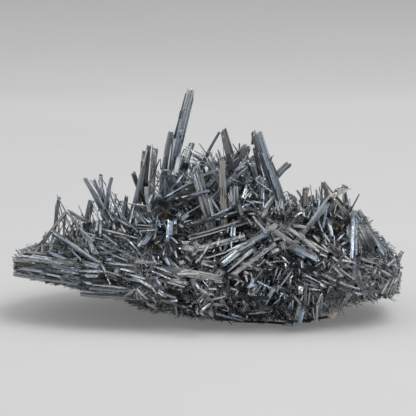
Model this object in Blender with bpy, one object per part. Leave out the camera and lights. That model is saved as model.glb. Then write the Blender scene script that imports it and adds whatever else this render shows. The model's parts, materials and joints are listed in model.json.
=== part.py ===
"""Stibnite crystal spray: a cabinet-size cluster of metallic grey needles and blades.

A jagged mass of small crystals, grown through each other, rests on a flat broken underside. It is one
solid. The large blades that rise from it, and those that lie along its front edge, are a solid each,
and each stands in a socket of the mass. One grain of quartz hangs under the right-hand side.

Sizes here are millimetres, turned into metres as each mesh is made. +X runs to the right along the
cluster, +Y away from its broken front, and +Z up. The origin is under the middle of the cluster, on the
plane that it rests on.
"""

import math
import random
from dataclasses import dataclass

import bmesh
import bpy
from mathutils import Matrix, Vector
from mathutils.geometry import intersect_point_line

MM = 0.001

# The mass of grown-together crystals
SECTION_STEP = 3.3  # spacing of the cross-sections along X
SECTION_SIDES = 26  # corners round each cross-section
LOWER_CURVE = 1.8  # superellipse exponent of the underside
ROUGHNESS = 1.5  # how far a corner stands in or out of the smooth form, where it is thick
THICK = 26.0  # height of a cross-section that is rough in full
MASS_SEED = 11

# Small blades, which are joined to the mass because they overlap it and each other
SMALL_BLADES = 104
SMALL_LENGTH = (7.0, 11.0)
SMALL_WIDTH = (1.5, 2.6)
SMALL_FLATNESS = 0.6  # thickness as a share of the width
SMALL_SUNK = 0.62  # share of the length that is inside the mass
SMALL_SPREAD = 1.3  # how far their directions stray from straight out of the mass
SMALL_TURN = 60.0  # most turn about the axis, in degrees
SMALL_CLEAR = 2.6  # least distance between the axis of a small blade and that of a large one
SMALL_FOOT = 4.0  # no small blade starts lower than this, which keeps the resting face whole
SMALL_SEED = 5

# Large blades and their sockets
SOCKET_GAP = 0.35  # clear space all round a blade, or the quartz grain, inside the mass
FLANK = 0.64  # share of the width where a blade's six-sided section has its flat faces
POINT_LENGTH = 0.9  # length of the sloping end, in widths
POINT_WIDTH = 0.42  # width left at the very end, as a share
POINT_THICKNESS = 0.35  # thickness left there, as a share
POINT_OFFSET = 0.12  # how far the end stands off the axis, in widths

# The quartz grain: its middle, its three diameters, and its rings as (height share, width share)
QUARTZ_AT = (33.4, -21.8, 4.0)
QUARTZ_SIZE = (3.4, 2.6, 2.2)
QUARTZ_RINGS = ((-0.5, 0.35), (-0.2, 0.9), (0.25, 1.0), (0.5, 0.5))
QUARTZ_TURN = 12.0

CUTTING_BLOCK = (160.0, 120.0, 20.0)  # the block that cuts the underside flat

GREY_STEEL = (0.23, 0.25, 0.28, 1.0)
DARK_STEEL = (0.13, 0.14, 0.16, 1.0)
BUFF_QUARTZ = (0.62, 0.54, 0.44, 1.0)


@dataclass
class Station:
    """One cross-section of the mass at x: its foremost, highest, rearmost and lowest points, as (y, z),
    and the superellipse exponent of its upper side, which is a straight slope at 1 and an ellipse at 2.
    """

    x: float
    front: tuple
    top: tuple
    back: tuple
    keel: tuple
    curve: float


STATIONS = [
    Station(-54.0, front=(-14.0, 14.5), top=(-8.0, 16.0), back=(-1.0, 14.5), keel=(-7.0, 13.2), curve=1.8),
    Station(-50.0, front=(-20.0, 15.0), top=(-6.0, 17.5), back=(9.0, 14.5), keel=(-6.0, 11.5), curve=1.9),
    Station(-42.0, front=(-24.0, 15.0), top=(-2.0, 21.5), back=(18.0, 15.0), keel=(-4.0, 10.0), curve=1.9),
    Station(-33.0, front=(-27.0, 13.5), top=(2.0, 24.5), back=(24.0, 15.0), keel=(-4.0, 7.6), curve=1.8),
    Station(-24.0, front=(-28.5, 12.0), top=(4.0, 27.5), back=(28.0, 15.0), keel=(-4.0, 5.2), curve=1.7),
    Station(-15.0, front=(-29.0, 10.0), top=(6.0, 31.8), back=(30.5, 14.5), keel=(-3.0, 1.6), curve=1.6),
    Station(-6.0, front=(-29.5, 10.0), top=(7.0, 36.5), back=(31.5, 14.0), keel=(-2.0, -1.5), curve=1.5),
    Station(4.0, front=(-30.0, 11.0), top=(7.0, 38.5), back=(31.5, 14.0), keel=(-2.0, -3.0), curve=1.5),
    Station(13.0, front=(-30.0, 13.0), top=(6.0, 37.5), back=(30.5, 14.0), keel=(-2.0, -3.2), curve=1.7),
    Station(21.0, front=(-30.5, 14.0), top=(3.0, 30.5), back=(29.0, 13.5), keel=(-5.0, -3.2), curve=2.1),
    Station(28.0, front=(-30.0, 14.0), top=(-2.0, 31.5), back=(26.5, 13.0), keel=(-7.0, -2.6), curve=2.2),
    Station(35.0, front=(-28.5, 14.0), top=(-5.0, 33.5), back=(23.5, 13.0), keel=(-6.0, 2.0), curve=2.1),
    Station(42.0, front=(-26.0, 13.0), top=(-8.0, 29.0), back=(18.5, 12.0), keel=(-6.0, 4.4), curve=2.0),
    Station(48.0, front=(-22.5, 12.5), top=(-9.0, 22.5), back=(11.5, 11.5), keel=(-7.0, 5.2), curve=1.9),
    Station(53.0, front=(-16.0, 11.5), top=(-8.0, 17.0), back=(3.0, 11.0), keel=(-7.0, 6.0), curve=1.8),
]


@dataclass
class Blade:
    """A crystal: the points its axis runs through, root first, its section and its turn about that axis."""

    name: str
    path: list
    width: float
    thickness: float
    turn: float = 0.0


BLADES = [
    # The crown: the tall blades over the middle
    Blade("crown_spire", [(-12.2, 10.2, 28.0), (-8.0, 12.0, 48.5), (-5.0, 14.0, 61.5)], 2.9, 1.9, 15),
    Blade("crown_spire_side", [(-13.8, 7.6, 28.0), (-10.6, 9.0, 50.0)], 1.6, 1.5, 10),
    Blade("crown_left_lath", [(-22.1, -5.0, 23.6), (-16.4, -1.0, 47.5)], 1.7, 1.1, 25),
    Blade("crown_left_rear", [(-19.7, 3.3, 26.0), (-18.0, 5.0, 45.0)], 1.4, 0.9, -15),
    Blade("crown_left_knob", [(-16.5, 1.5, 28.2), (-21.0, -2.0, 39.8)], 1.4, 1.2, 0),
    Blade("crown_rear_pale", [(-16.5, 8.5, 27.0), (-15.2, 11.0, 45.0)], 2.0, 1.2, 0),
    Blade("crown_rear_dark", [(-9.6, 5.0, 31.5), (-4.6, 12.0, 46.5)], 1.8, 1.4, 20),
    Blade("crown_spire_foot", [(-11.1, 2.4, 29.7), (-6.8, 6.0, 43.5)], 2.1, 1.0, -10),
    Blade("crown_short_pale", [(-15.4, -9.5, 24.5), (-17.2, -8.0, 37.0)], 1.3, 0.9, -5),
    Blade("crown_broken_stub", [(-5.6, 4.0, 30.6), (-11.8, -5.0, 40.5)], 2.3, 1.9, 30),
    Blade("crown_crossbar", [(7.5, 7.0, 35.0), (-6.5, 8.2, 45.3)], 1.4, 0.9, 30),
    Blade("crown_tent_left", [(-5.5, 4.9, 34.5), (3.2, 3.0, 50.6)], 0.9, 0.7, 0),
    Blade("crown_tent_right", [(10.2, 2.1, 33.6), (4.3, 1.0, 51.8)], 1.4, 0.9, 10),
    Blade("crown_pale_bar", [(4.7, -13.2, 24.5), (3.8, -9.0, 44.5)], 1.8, 1.2, -8),
    Blade("crown_long_lath", [(-16.7, -1.8, 27.6), (3.0, -5.0, 41.8)], 1.2, 0.9, 20),
    Blade("crown_low_lath", [(-14.0, -4.5, 27.8), (0.4, -15.7, 37.2)], 1.3, 0.8, 30),
    Blade("crown_striated_fan", [(1.5, -13.6, 23.5), (-3.8, -10.0, 42.8)], 2.7, 1.2, -5),
    Blade("crown_prow_right", [(23.5, -2.5, 24.0), (13.8, 0.0, 51.0)], 2.1, 1.6, 15),
    Blade("crown_prow_middle", [(20.3, 2.3, 28.2), (12.3, 4.0, 50.8)], 2.1, 1.2, -20),
    Blade("crown_prow_left", [(0.5, 0.1, 34.8), (10.7, -0.5, 47.6)], 1.9, 1.1, 10),
    Blade("crown_block_lath", [(0.2, -7.0, 31.8), (11.6, -3.5, 43.4)], 2.0, 1.2, 15),
    Blade("crown_block_post", [(17.4, -3.2, 31.3), (12.2, -6.0, 43.2)], 1.4, 1.0, 0),
    Blade("crown_stub_right", [(14.0, 8.0, 31.0), (23.2, 9.0, 41.2)], 2.2, 1.0, 0),
    Blade("crown_pale_stub", [(7.8, -11.6, 28.0), (7.4, -10.2, 37.7)], 2.1, 1.1, 0),
    # The sheaf of long laths across the upper front, and the two that lean across the lower front
    Blade("front_sheaf_upper", [(12.0, -11.5, 31.0), (-6.0, -18.4, 27.6)], 1.3, 1.0, 0),
    Blade("front_sheaf_middle", [(11.0, -15.5, 28.8), (-5.6, -21.0, 24.6)], 1.7, 1.1, 0),
    Blade("front_sheaf_lower", [(10.0, -19.5, 24.8), (-5.0, -23.7, 21.8)], 1.6, 1.0, 0),
    Blade("front_diagonal_upper", [(18.4, -17.0, 27.6), (3.4, -27.3, 18.2)], 1.5, 1.0, 0),
    Blade("front_diagonal_lower", [(18.0, -23.0, 23.8), (5.2, -30.0, 15.6)], 1.4, 0.9, 0),
    Blade("front_plate", [(-12.5, -23.5, 16.8), (4.2, -30.0, 15.4)], 2.4, 1.1, 0),
    # The left wing: a fan of slim blades and the leaning ones at its end
    Blade("left_fan_outer", [(-26.6, 3.5, 24.6), (-34.8, 1.0, 37.8)], 1.3, 0.8, 10),
    Blade("left_fan_inner", [(-26.4, 6.5, 24.0), (-32.6, 6.5, 36.6)], 1.2, 0.8, -15),
    Blade("left_fan_rear", [(-29.4, 9.5, 24.0), (-30.7, 10.0, 37.6)], 1.2, 0.9, 0),
    Blade("left_fan_right", [(-30.2, -0.6, 24.0), (-27.0, 1.2, 38.0)], 0.9, 0.7, 0),
    Blade("left_broad_blade", [(-35.4, -4.0, 18.5), (-32.6, 0.0, 32.0)], 1.8, 0.9, 8),
    Blade("left_slim_blade", [(-32.4, -8.6, 18.6), (-28.7, -7.0, 30.8)], 1.0, 0.7, 0),
    Blade("left_post", [(-23.8, -1.0, 22.0), (-23.0, 2.0, 32.4)], 1.3, 0.9, 20),
    Blade("left_peak", [(-44.4, 1.5, 15.8), (-41.9, 3.0, 32.2)], 0.9, 0.7, 0),
    Blade("left_gable_outer", [(-50.6, -11.6, 14.4), (-38.8, -9.0, 30.4)], 0.9, 0.8, 0),
    Blade("left_gable_inner", [(-29.2, -2.3, 23.3), (-38.6, -6.6, 29.6)], 1.1, 0.8, 0),
    Blade("left_long_lath", [(-24.5, -24.2, 14.8), (-42.8, -14.0, 25.8)], 1.1, 0.8, 0),
    Blade("left_shelf_blade", [(-35.5, -19.5, 17.8), (-53.4, -17.0, 18.0)], 1.2, 1.0, 0),
    Blade("left_shelf_lip", [(-35.0, -22.0, 12.8), (-53.0, -18.4, 14.2)], 1.0, 0.8, 0),
    Blade("left_shelf_slab", [(-16.5, -25.0, 9.2), (-34.6, -26.2, 10.4)], 1.4, 1.0, 0),
    # The right-hand mound
    Blade("right_curled_blade",
          [(22.7, -22.5, 23.0), (31.5, -20.7, 33.0), (35.0, -19.3, 37.3), (38.2, -18.5, 38.3)], 1.4, 1.0, 0),
    Blade("right_brown_blade", [(26.0, -7.0, 25.5), (26.9, -9.0, 37.0)], 1.8, 1.1, 0),
    Blade("right_rear_blade", [(37.0, -2.2, 26.5), (31.6, -4.0, 37.6)], 1.4, 1.0, 0),
    Blade("right_post", [(39.5, -25.8, 14.6), (39.1, -20.0, 30.0)], 1.4, 1.0, 0),
    Blade("right_slab", [(51.0, -11.8, 12.4), (41.6, -17.0, 29.6)], 2.6, 1.2, 20),
    Blade("right_low_blade", [(18.0, -20.5, 26.5), (29.6, -30.2, 20.4)], 1.5, 1.0, 0),
    Blade("right_end_stick", [(50.0, -8.0, 12.5), (54.2, -5.0, 18.2)], 1.2, 0.9, 0),
    # Under the front edge
    Blade("keel_post_left", [(25.4, -26.2, 12.0), (23.4, -23.8, 1.2)], 1.4, 0.9, 0),
    Blade("keel_post_right", [(29.4, -25.6, 11.0), (30.0, -24.0, 2.4)], 1.1, 0.8, 0),
    # The back slope, which balances the crown
    Blade("rear_left_blade", [(-24.0, 15.0, 19.0), (-29.5, 24.0, 30.0)], 1.7, 1.1, 0),
    Blade("rear_middle_blade", [(-4.0, 19.0, 25.0), (-9.5, 28.0, 36.5)], 2.0, 1.3, 15),
    Blade("rear_right_blade", [(11.0, 17.0, 26.0), (17.0, 26.5, 37.0)], 1.6, 1.1, -10),
    Blade("rear_low_blade", [(2.0, 25.0, 17.0), (6.5, 32.0, 26.0)], 1.4, 1.0, 0),
    Blade("rear_end_blade", [(33.0, 10.0, 18.0), (39.5, 18.0, 27.5)], 1.5, 1.0, 0),
]


def clear_scene():
    for old in list(bpy.data.objects):
        bpy.data.objects.remove(old)


def material(name, colour, roughness, metallic):
    made = bpy.data.materials.new(name)
    made.use_nodes = True
    shader = made.node_tree.nodes["Principled BSDF"]
    shader.inputs["Base Color"].default_value = colour
    shader.inputs["Roughness"].default_value = roughness
    shader.inputs["Metallic"].default_value = metallic
    made.diffuse_color = colour
    return made


def add_piece(name, shape, at, surface, parent):
    """Adds a piece of the spray, whose mesh is drawn about the point where it is placed."""
    shape.materials.append(surface)
    piece = bpy.data.objects.new(name, shape)
    bpy.context.scene.collection.objects.link(piece)
    piece.location = Vector(at) * MM
    piece.parent = parent
    return piece


def add_helper(name, shape, at, helpers):
    """Adds a shape that is only joined to the mass or cut from it."""
    helper = bpy.data.objects.new(name, shape)
    helpers.objects.link(helper)
    helper.location = Vector(at) * MM
    helper.hide_render = True
    helper.display_type = "WIRE"


def add_collection(name):
    made = bpy.data.collections.new(name)
    bpy.context.scene.collection.children.link(made)
    return made


def loft(name, rings, bent=False):
    """A closed mesh skinned over rings of equal length, which are lists of points in millimetres.
    Faces that are bent are split into triangles.
    """
    form = bmesh.new()
    rows = [[form.verts.new(Vector(point) * MM) for point in ring] for ring in rings]
    for near, far in zip(rows, rows[1:]):
        for i in range(len(near)):
            j = (i + 1) % len(near)
            form.faces.new((near[i], near[j], far[j], far[i]))
    form.faces.new(reversed(rows[0]))
    form.faces.new(rows[-1])
    if bent:
        bmesh.ops.triangulate(form, faces=form.faces)
    bmesh.ops.recalc_face_normals(form, faces=form.faces)
    made = bpy.data.meshes.new(name)
    form.to_mesh(made)
    form.free()
    return made


# --- large blades and quartz -----------------------------------------------------------------------


def blade_axes(path, turn):
    """The directions of a blade's length, width and thickness: unturned, its broad face looks forward."""
    length = (Vector(path[-1]) - Vector(path[0])).normalized()
    width = length.cross(Vector((0, -1, 0))).normalized()
    width = Matrix.Rotation(math.radians(turn), 3, length) @ width
    return length, width, length.cross(width)


def six_sided(centre, across, through, width, thickness):
    """The six corners of a blade's cross-section."""
    half = width / 2
    flat = half * FLANK
    corners = ((half, 0), (flat, 0.5), (-flat, 0.5), (-half, 0), (-flat, -0.5), (flat, -0.5))
    return [centre + across * a + through * b * thickness for a, b in corners]


def blade_shape(blade, spare=0.0, pointed=True):
    """A blade's mesh about its root, grown by spare on every side, with a sloping end or a square one."""
    along, across, through = blade_axes(blade.path, blade.turn)
    root, *bends, end = [Vector(point) - Vector(blade.path[0]) for point in blade.path]
    width = blade.width + 2 * spare
    thickness = blade.thickness + 2 * spare
    end += along * spare
    rings = [six_sided(root - along * spare, across, through, width, thickness)]
    for bend in bends:
        rings.append(six_sided(bend, across, through, width, thickness))
    if pointed:
        shoulder = end - along * POINT_LENGTH * width
        rings.append(six_sided(shoulder, across, through, width, thickness))
        end += across * POINT_OFFSET * width
        width *= POINT_WIDTH
        thickness *= POINT_THICKNESS
    rings.append(six_sided(end, across, through, width, thickness))
    return loft(blade.name, rings)


def quartz_shape(spare=0.0):
    """A blunt six-sided grain."""
    width, depth, height = [size + 2 * spare for size in QUARTZ_SIZE]
    rings = []
    for level, share in QUARTZ_RINGS:
        turns = [math.radians(60 * i + QUARTZ_TURN) for i in range(6)]
        corners = [(width / 2 * math.cos(a), depth / 2 * math.sin(a)) for a in turns]
        rings.append([(share * x, share * y, level * height) for x, y in corners])
    return loft("quartz_grain", rings)


# --- the mass --------------------------------------------------------------------------------------


def eased(x):
    """The four edge points of the mass at x, and its upper curve, eased between the nearest stations."""
    for low, high in zip(STATIONS, STATIONS[1:]):
        if x <= high.x:
            break
    straight = (x - low.x) / (high.x - low.x)
    smooth = straight * straight * (3 - 2 * straight)
    share = (straight + smooth) / 2
    pairs = ((low.front, high.front), (low.top, high.top), (low.back, high.back), (low.keel, high.keel))
    edges = [Vector(a).lerp(Vector(b), share) for a, b in pairs]
    return *edges, low.curve + (high.curve - low.curve) * share


def quarter(start, end, corner, share, exponent):
    """A point of the quarter superellipse from start to end that bulges towards corner."""
    angle = share * math.pi / 2
    middle = start + end - corner
    along = (start - middle) * math.cos(angle) ** (2 / exponent)
    return middle + along + (end - middle) * math.sin(angle) ** (2 / exponent)


def section(x, rough):
    """The corners of the cross-section at x, from its front edge over the top and back underneath."""
    front, top, back, keel, curve = eased(x)
    arcs = (
        (front, top, Vector((front.x, top.y)), curve),
        (top, back, Vector((back.x, top.y)), curve),
        (back, keel, Vector((back.x, keel.y)), LOWER_CURVE),
        (keel, front, Vector((front.x, keel.y)), LOWER_CURVE),
    )
    middle = (front + back + top + keel) / 4
    is_end = x in (STATIONS[0].x, STATIONS[-1].x)
    roughness = 0 if is_end else ROUGHNESS * min(1, (top.y - keel.y) / THICK)
    corners = []
    for i in range(SECTION_SIDES):
        way_round = 4 * i / SECTION_SIDES
        start, end, corner, exponent = arcs[int(way_round)]
        point = quarter(start, end, corner, way_round % 1, exponent)
        point += (point - middle).normalized() * rough.uniform(-roughness, roughness)
        corners.append((x, point.x, point.y))
    return corners


def crust():
    """The rough closed form of the mass, before anything is joined to it or cut from it."""
    rough = random.Random(MASS_SEED)
    start, end = STATIONS[0].x, STATIONS[-1].x
    count = round((end - start) / SECTION_STEP)
    places = [start + (end - start) * i / count for i in range(count + 1)]
    return loft("crystal_mass", [section(x, rough) for x in places], bent=True)


def distance_to_path(point, path):
    """The distance from a point to a path of straight runs."""
    distances = []
    for start, end in zip(path, path[1:]):
        _, share = intersect_point_line(point, Vector(start), Vector(end))
        foot = Vector(start).lerp(Vector(end), min(1, max(0, share)))
        distances.append((point - foot).length)
    return min(distances)


def clear_of_large(root, tip):
    """Whether a small blade from root to tip keeps away from every large blade."""
    points = [root.lerp(tip, step / 5) for step in range(6)]
    return all(distance_to_path(p, blade.path) > SMALL_CLEAR for p in points for blade in BLADES)


def small_blades():
    """Short blades sunk in the mass all round, each straying its own way from straight out of it."""
    pick = random.Random(SMALL_SEED)
    start, end = STATIONS[0].x, STATIONS[-1].x
    made = []
    while len(made) < SMALL_BLADES:
        x = pick.uniform(start + SECTION_STEP, end - SECTION_STEP)
        front, top, back, keel, _ = eased(x)
        middle = Vector((x * 0.9, (front.x + back.x) / 2, (top.y + keel.y) / 2))
        at = Vector(section(x, pick)[pick.randrange(SECTION_SIDES)])
        outward = (at - middle).normalized()
        stray = Vector([pick.uniform(-SMALL_SPREAD, SMALL_SPREAD) for _ in range(3)])
        direction = (outward + stray).normalized()
        length = pick.uniform(*SMALL_LENGTH)
        width = pick.uniform(*SMALL_WIDTH)
        turn = pick.uniform(-SMALL_TURN, SMALL_TURN)
        root = at - direction * length * SMALL_SUNK
        tip = root + direction * length
        flat_lying = direction.dot(outward) < 0.15
        if flat_lying or at.z < SMALL_FOOT or tip.z < SMALL_FOOT / 2 or not clear_of_large(root, tip):
            continue
        made.append(Blade(f"small_blade_{len(made)}", [root, tip], width, width * SMALL_FLATNESS, turn))
    return made


def cutting_block():
    """A block whose top is the plane that the spray rests on."""
    half_x, half_y, height = CUTTING_BLOCK[0] / 2, CUTTING_BLOCK[1] / 2, CUTTING_BLOCK[2]
    outline = ((half_x, half_y), (-half_x, half_y), (-half_x, -half_y), (half_x, -half_y))
    return loft("cutting_block", [[(x, y, z) for x, y in outline] for z in (-height, 0)])


def add_mass(surface, parent):
    """The mass, with its small blades joined, a socket cut for each large blade, and its underside flat."""
    grown = add_collection("grown_together")
    for blade in small_blades():
        add_helper(blade.name, blade_shape(blade, pointed=False), blade.path[0], grown)
    cutters = add_collection("cutters")
    for blade in BLADES:
        shape = blade_shape(blade, SOCKET_GAP, pointed=False)
        add_helper(f"{blade.name}_socket", shape, blade.path[0], cutters)
    add_helper("quartz_socket", quartz_shape(SOCKET_GAP), QUARTZ_AT, cutters)
    add_helper("cutting_block", cutting_block(), (0, 0, 0), cutters)
    mass = add_piece("crystal_mass", crust(), (0, 0, 0), surface, parent)
    for operation, helpers in (("UNION", grown), ("DIFFERENCE", cutters)):
        step = mass.modifiers.new(helpers.name, "BOOLEAN")
        step.operation = operation
        step.operand_type = "COLLECTION"
        step.collection = helpers
        step.solver = "EXACT"


def main():
    clear_scene()
    blade_surface = material("stibnite_blade", GREY_STEEL, 0.3, 0.85)
    mass_surface = material("stibnite_mass", DARK_STEEL, 0.5, 0.6)
    quartz_surface = material("quartz", BUFF_QUARTZ, 0.35, 0.0)
    spray = bpy.data.objects.new("spray", None)
    bpy.context.scene.collection.objects.link(spray)
    add_mass(mass_surface, spray)
    for blade in BLADES:
        add_piece(blade.name, blade_shape(blade), blade.path[0], blade_surface, spray)
    add_piece("quartz_grain", quartz_shape(), QUARTZ_AT, quartz_surface, spray)


if __name__ == "__main__":
    main()
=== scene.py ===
"""Looks of the stibnite crystal spray: a jagged mass of metallic grey laths, needles and small druse
crystals, with large striated blades that rise from it and a grain of quartz under its right-hand side.

The packed part gives the mass, the large blades and their places. Each is replaced by a finished crystal
form of the same size. Sizes here are millimetres until a mesh is made. +X runs to the right along the
cluster, +Y away from its broken front, and +Z up, with Z = 0 on the floor.
"""

import json
import math
import random
from dataclasses import dataclass
from functools import lru_cache

import bmesh
import bpy
import numpy as np
from bpy.props import FloatProperty, FloatVectorProperty, PointerProperty
from mathutils import Matrix, Vector, noise
from mathutils.bvhtree import BVHTree

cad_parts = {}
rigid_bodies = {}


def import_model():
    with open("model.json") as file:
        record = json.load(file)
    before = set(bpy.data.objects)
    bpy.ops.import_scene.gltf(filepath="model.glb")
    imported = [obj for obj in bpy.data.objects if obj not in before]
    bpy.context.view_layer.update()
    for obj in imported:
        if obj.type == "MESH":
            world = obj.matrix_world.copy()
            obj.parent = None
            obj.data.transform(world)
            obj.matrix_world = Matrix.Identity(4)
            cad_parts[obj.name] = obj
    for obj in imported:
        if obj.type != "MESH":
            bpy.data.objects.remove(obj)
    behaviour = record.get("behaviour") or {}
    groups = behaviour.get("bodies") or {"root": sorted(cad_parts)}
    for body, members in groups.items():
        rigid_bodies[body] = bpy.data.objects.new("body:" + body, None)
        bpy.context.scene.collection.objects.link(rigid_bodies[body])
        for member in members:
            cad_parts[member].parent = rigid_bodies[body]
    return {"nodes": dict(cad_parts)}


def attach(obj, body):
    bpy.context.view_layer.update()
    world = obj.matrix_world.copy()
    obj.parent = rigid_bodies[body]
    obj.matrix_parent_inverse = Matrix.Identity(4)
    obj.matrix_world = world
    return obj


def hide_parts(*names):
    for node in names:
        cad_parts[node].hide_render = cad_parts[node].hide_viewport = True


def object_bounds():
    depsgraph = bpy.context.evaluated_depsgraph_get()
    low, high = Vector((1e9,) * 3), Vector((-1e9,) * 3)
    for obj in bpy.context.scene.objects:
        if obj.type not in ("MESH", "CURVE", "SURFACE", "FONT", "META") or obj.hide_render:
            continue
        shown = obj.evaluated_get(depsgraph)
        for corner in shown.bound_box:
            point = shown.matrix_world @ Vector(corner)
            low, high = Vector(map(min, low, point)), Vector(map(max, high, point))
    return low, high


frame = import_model()
CAD_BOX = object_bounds()

bl_info = {
    "name": "Stibnite Crystal Spray",
    "version": (1, 0, 0),
    "blender": (4, 5, 0),
    "location": "3D View > Sidebar > Crystal Spray",
    "description": "Finishes a cluster of metallic needles and blades, and sets it on a pale stage",
    "category": "Object",
}

MM = 0.001

# The ground: a smooth form just under the surface of the mass, which the small crystals grow on
GROUND_SECTIONS = 92  # cross-sections along X
GROUND_SIDES = 104  # points round each cross-section
SECTION_REACH = 4.0  # how much of the mass, each way along X, sets the middle of a cross-section
PROBE_REACH = 90.0  # rays start this far out, and look inwards for the surface of the mass
MISSED_DEPTH = 1.0  # how far out the surface is taken to be where a ray meets nothing
SHALLOWEST = 0.4  # the ground keeps at least this share of the way out to the surface
END_MARGIN = 0.6  # first and last cross-section, in from the ends of the mass
SMOOTH_WINDOW = 2  # neighbours each way whose median sets the distance, which skips sockets and stubs
UNDULATION = 1.1  # how far the ground rolls in and out
UNDULATION_SPAN = 7.0
RESTING_PLANE = 0.4  # the ground never goes below this, and ends flat there
HOLLOW_STEEPNESS = 1.5  # how quickly the ground goes down to its depth from a hollow's rim
HOLLOW_BARENESS = 1.3  # how quickly the crystals thin out towards a hollow's middle
CRUST_GRAIN = 1.5  # size of the grains that the crust is shaped into
CRUST_LEVEL = 0.6  # the ground goes in where grains of the crust are further than this from their middle
WELD = 1e-6  # corners this close are one, in metres

# Regions of the ground, each of which makes pieces of its own
LEFT_END = -20.0  # the left wing lies beyond this X
RIGHT_START = 15.0  # the right-hand mound lies beyond this X
BACK_START = 9.0  # the back slope lies behind this Y
FRONT_TOP = 25.0  # the front ends and the crown starts at this height
UNDER_SLOPE = -0.45  # faces that look down more steeply than this belong to the underside
REGION_SCALE = {"left": 0.72, "crown": 0.85, "front": 0.9, "right": 1.0, "back": 1.3, "under": 1.0}
REGIONS = tuple(REGION_SCALE)


@dataclass
class Grain:
    """How crystals lie over one part of the mass: away from a source point, or all in one direction."""

    at: tuple  # the middle of that part
    reach: float  # how far it holds
    source: tuple = None
    towards: tuple = None
    rise: float = 0.3  # how steeply they stand on the ground: 0 lies flat, 1 stands at 45 degrees
    jumble: float = 1.0  # how far they stray from that direction
    weight: float = 1.0


GRAINS = [
    # The left wing: a fan that spreads from under its inner end, over a shelf of parallel laths
    Grain(at=(-34, -4, 25), reach=15, source=(-14, -4, 8), rise=1.0, jumble=1.3),
    Grain(at=(-30, -14, 23), reach=10, source=(-12, -4, 12), rise=0.5, jumble=1.6),
    Grain(at=(-42, -20, 14), reach=11, towards=(-0.97, -0.12, 0.16), rise=0.1, jumble=0.5, weight=2.2),
    Grain(at=(-26, -25, 15), reach=9, towards=(-0.95, -0.2, 0.2), rise=0.15, jumble=0.6, weight=2.0),
    Grain(at=(-24, -26, 9), reach=8, towards=(-0.95, -0.15, 0.12), rise=0.12, jumble=0.6, weight=2.0),
    Grain(at=(-47, -10, 20), reach=6, towards=(-0.75, -0.3, -0.55), rise=0.4, weight=1.2),
    # The middle of the front
    Grain(at=(-10, -25, 16), reach=9, towards=(-0.92, -0.3, 0.22), rise=0.25, weight=1.8),
    Grain(at=(-12, -27, 8), reach=8, towards=(-0.8, -0.35, 0.4), rise=0.2, jumble=0.8, weight=1.6),
    Grain(at=(0, -18, 25), reach=7, towards=(0.93, -0.25, 0.25), rise=0.3, weight=1.5),
    Grain(at=(5, -26, 5), reach=10, towards=(0.95, -0.25, 0.05), rise=0.2, jumble=0.8, weight=2.0),
    # The crown
    Grain(at=(0, 0, 37), reach=15, source=(3, 2, 8), rise=1.0, jumble=1.8),
    Grain(at=(0, -12, 32), reach=8, towards=(0.65, -0.35, 0.5), rise=0.5, jumble=1.8, weight=0.9),
    # The star on the right, whose crystals spread down and sideways from one place
    Grain(at=(9, -26, 18), reach=10, source=(23, -13, 30), rise=0.25, jumble=0.8, weight=2.2),
    Grain(at=(23, -29, 14), reach=11, source=(21, -12, 29), rise=0.35, jumble=0.8, weight=2.2),
    Grain(at=(36, -26, 19), reach=11, source=(20, -10, 28), rise=0.3, jumble=1.0, weight=2.4),
    # The right-hand mound and its end
    Grain(at=(37, -12, 33), reach=12, source=(33, -6, 8), rise=1.0, jumble=1.4, weight=1.6),
    Grain(at=(44, -22, 9), reach=8, towards=(0.97, -0.2, -0.08), rise=0.2, jumble=0.9, weight=1.8),
    Grain(at=(46, -14, 24), reach=8, towards=(0.7, -0.2, -0.65), rise=0.05, jumble=0.4, weight=2.5),
    Grain(at=(48, -3, 22), reach=9, towards=(0.7, 0.2, -0.65), rise=0.05, jumble=0.4, weight=2.5),
    Grain(at=(52, -13, 13), reach=6, towards=(0.2, -0.3, 0.9), rise=0.1, jumble=0.5, weight=2.5),
    # The back
    Grain(at=(0, 24, 22), reach=30, source=(0, 2, 6), rise=0.6, jumble=1.3, weight=0.8),
]


@dataclass
class Hollow:
    """A pocket in the mass, with few crystals in it."""

    at: tuple
    radius: float
    depth: float


HOLLOWS = [
    Hollow((-11, -8, 30), 5.5, 5.0),
    Hollow((-2, -10, 32), 4.5, 3.0),
    Hollow((17, -30, 16), 4.0, 3.5),
    Hollow((7, -27, 16), 4.5, 3.5),
    Hollow((9.5, -20, 26), 5.0, 3.0),
    Hollow((45, -17, 23), 7.5, 2.0),
    Hollow((34, -27, 4), 5.0, 2.0),
    Hollow((30, -28, 12), 3.5, 2.5),
    Hollow((-33, -24, 11), 3.5, 2.0),
    Hollow((-6.5, -26, 9.5), 4.5, 4.0),
    Hollow((16, -28, 9), 4.0, 3.5),
]

# Where pale powder dulls the crystals, and how far it reaches
POWDER = [
    ((21, -24, 27), 6.5),
    ((29, -28, 24), 4.5),
    ((-4, -26, 18), 7.5),
    ((0, -28, 9), 6.0),
    ((10, -29, 19), 5.5),
    ((42, -24, 16), 8.0),
    ((34, -26, 19), 7.0),
    ((40, -24, 12), 6.5),
    ((35, -22, 6), 5.0),
    ((50, -20, 13), 6.0),
    ((41, -22, 25), 6.0),
    ((18, -17, 30), 7.0),
    ((-34, -12, 26), 6.0),
    ((-26, -14, 24), 5.0),
    ((-48, -14, 17), 5.0),
    ((-14, -26, 12), 5.0),
    ((-18, -24, 17), 5.0),
]

LIE_OF_CRYSTALS = ("grain", "rise", "jumble", "crowding")  # what each point of the ground holds
BASE_KINDS = 7  # different crystals that each field repeats
TUFT_SEED = 200
SLIVER_SEED = 100

# Texture sizes, as repeats in a metre
DUST_SCALE = 260.0
POWDER_SCALE = 900.0
CRUST_SCALE = 1300.0
STAIN_SCALE = 110.0
QUARTZ_SCALE = 700.0
PAPER_SCALE = 9.0
RIB_SCALE = 9.0  # fine lines round a crystal, for each of its widths
RIB_STRETCH = 0.06  # how slowly those lines change along it

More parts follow.
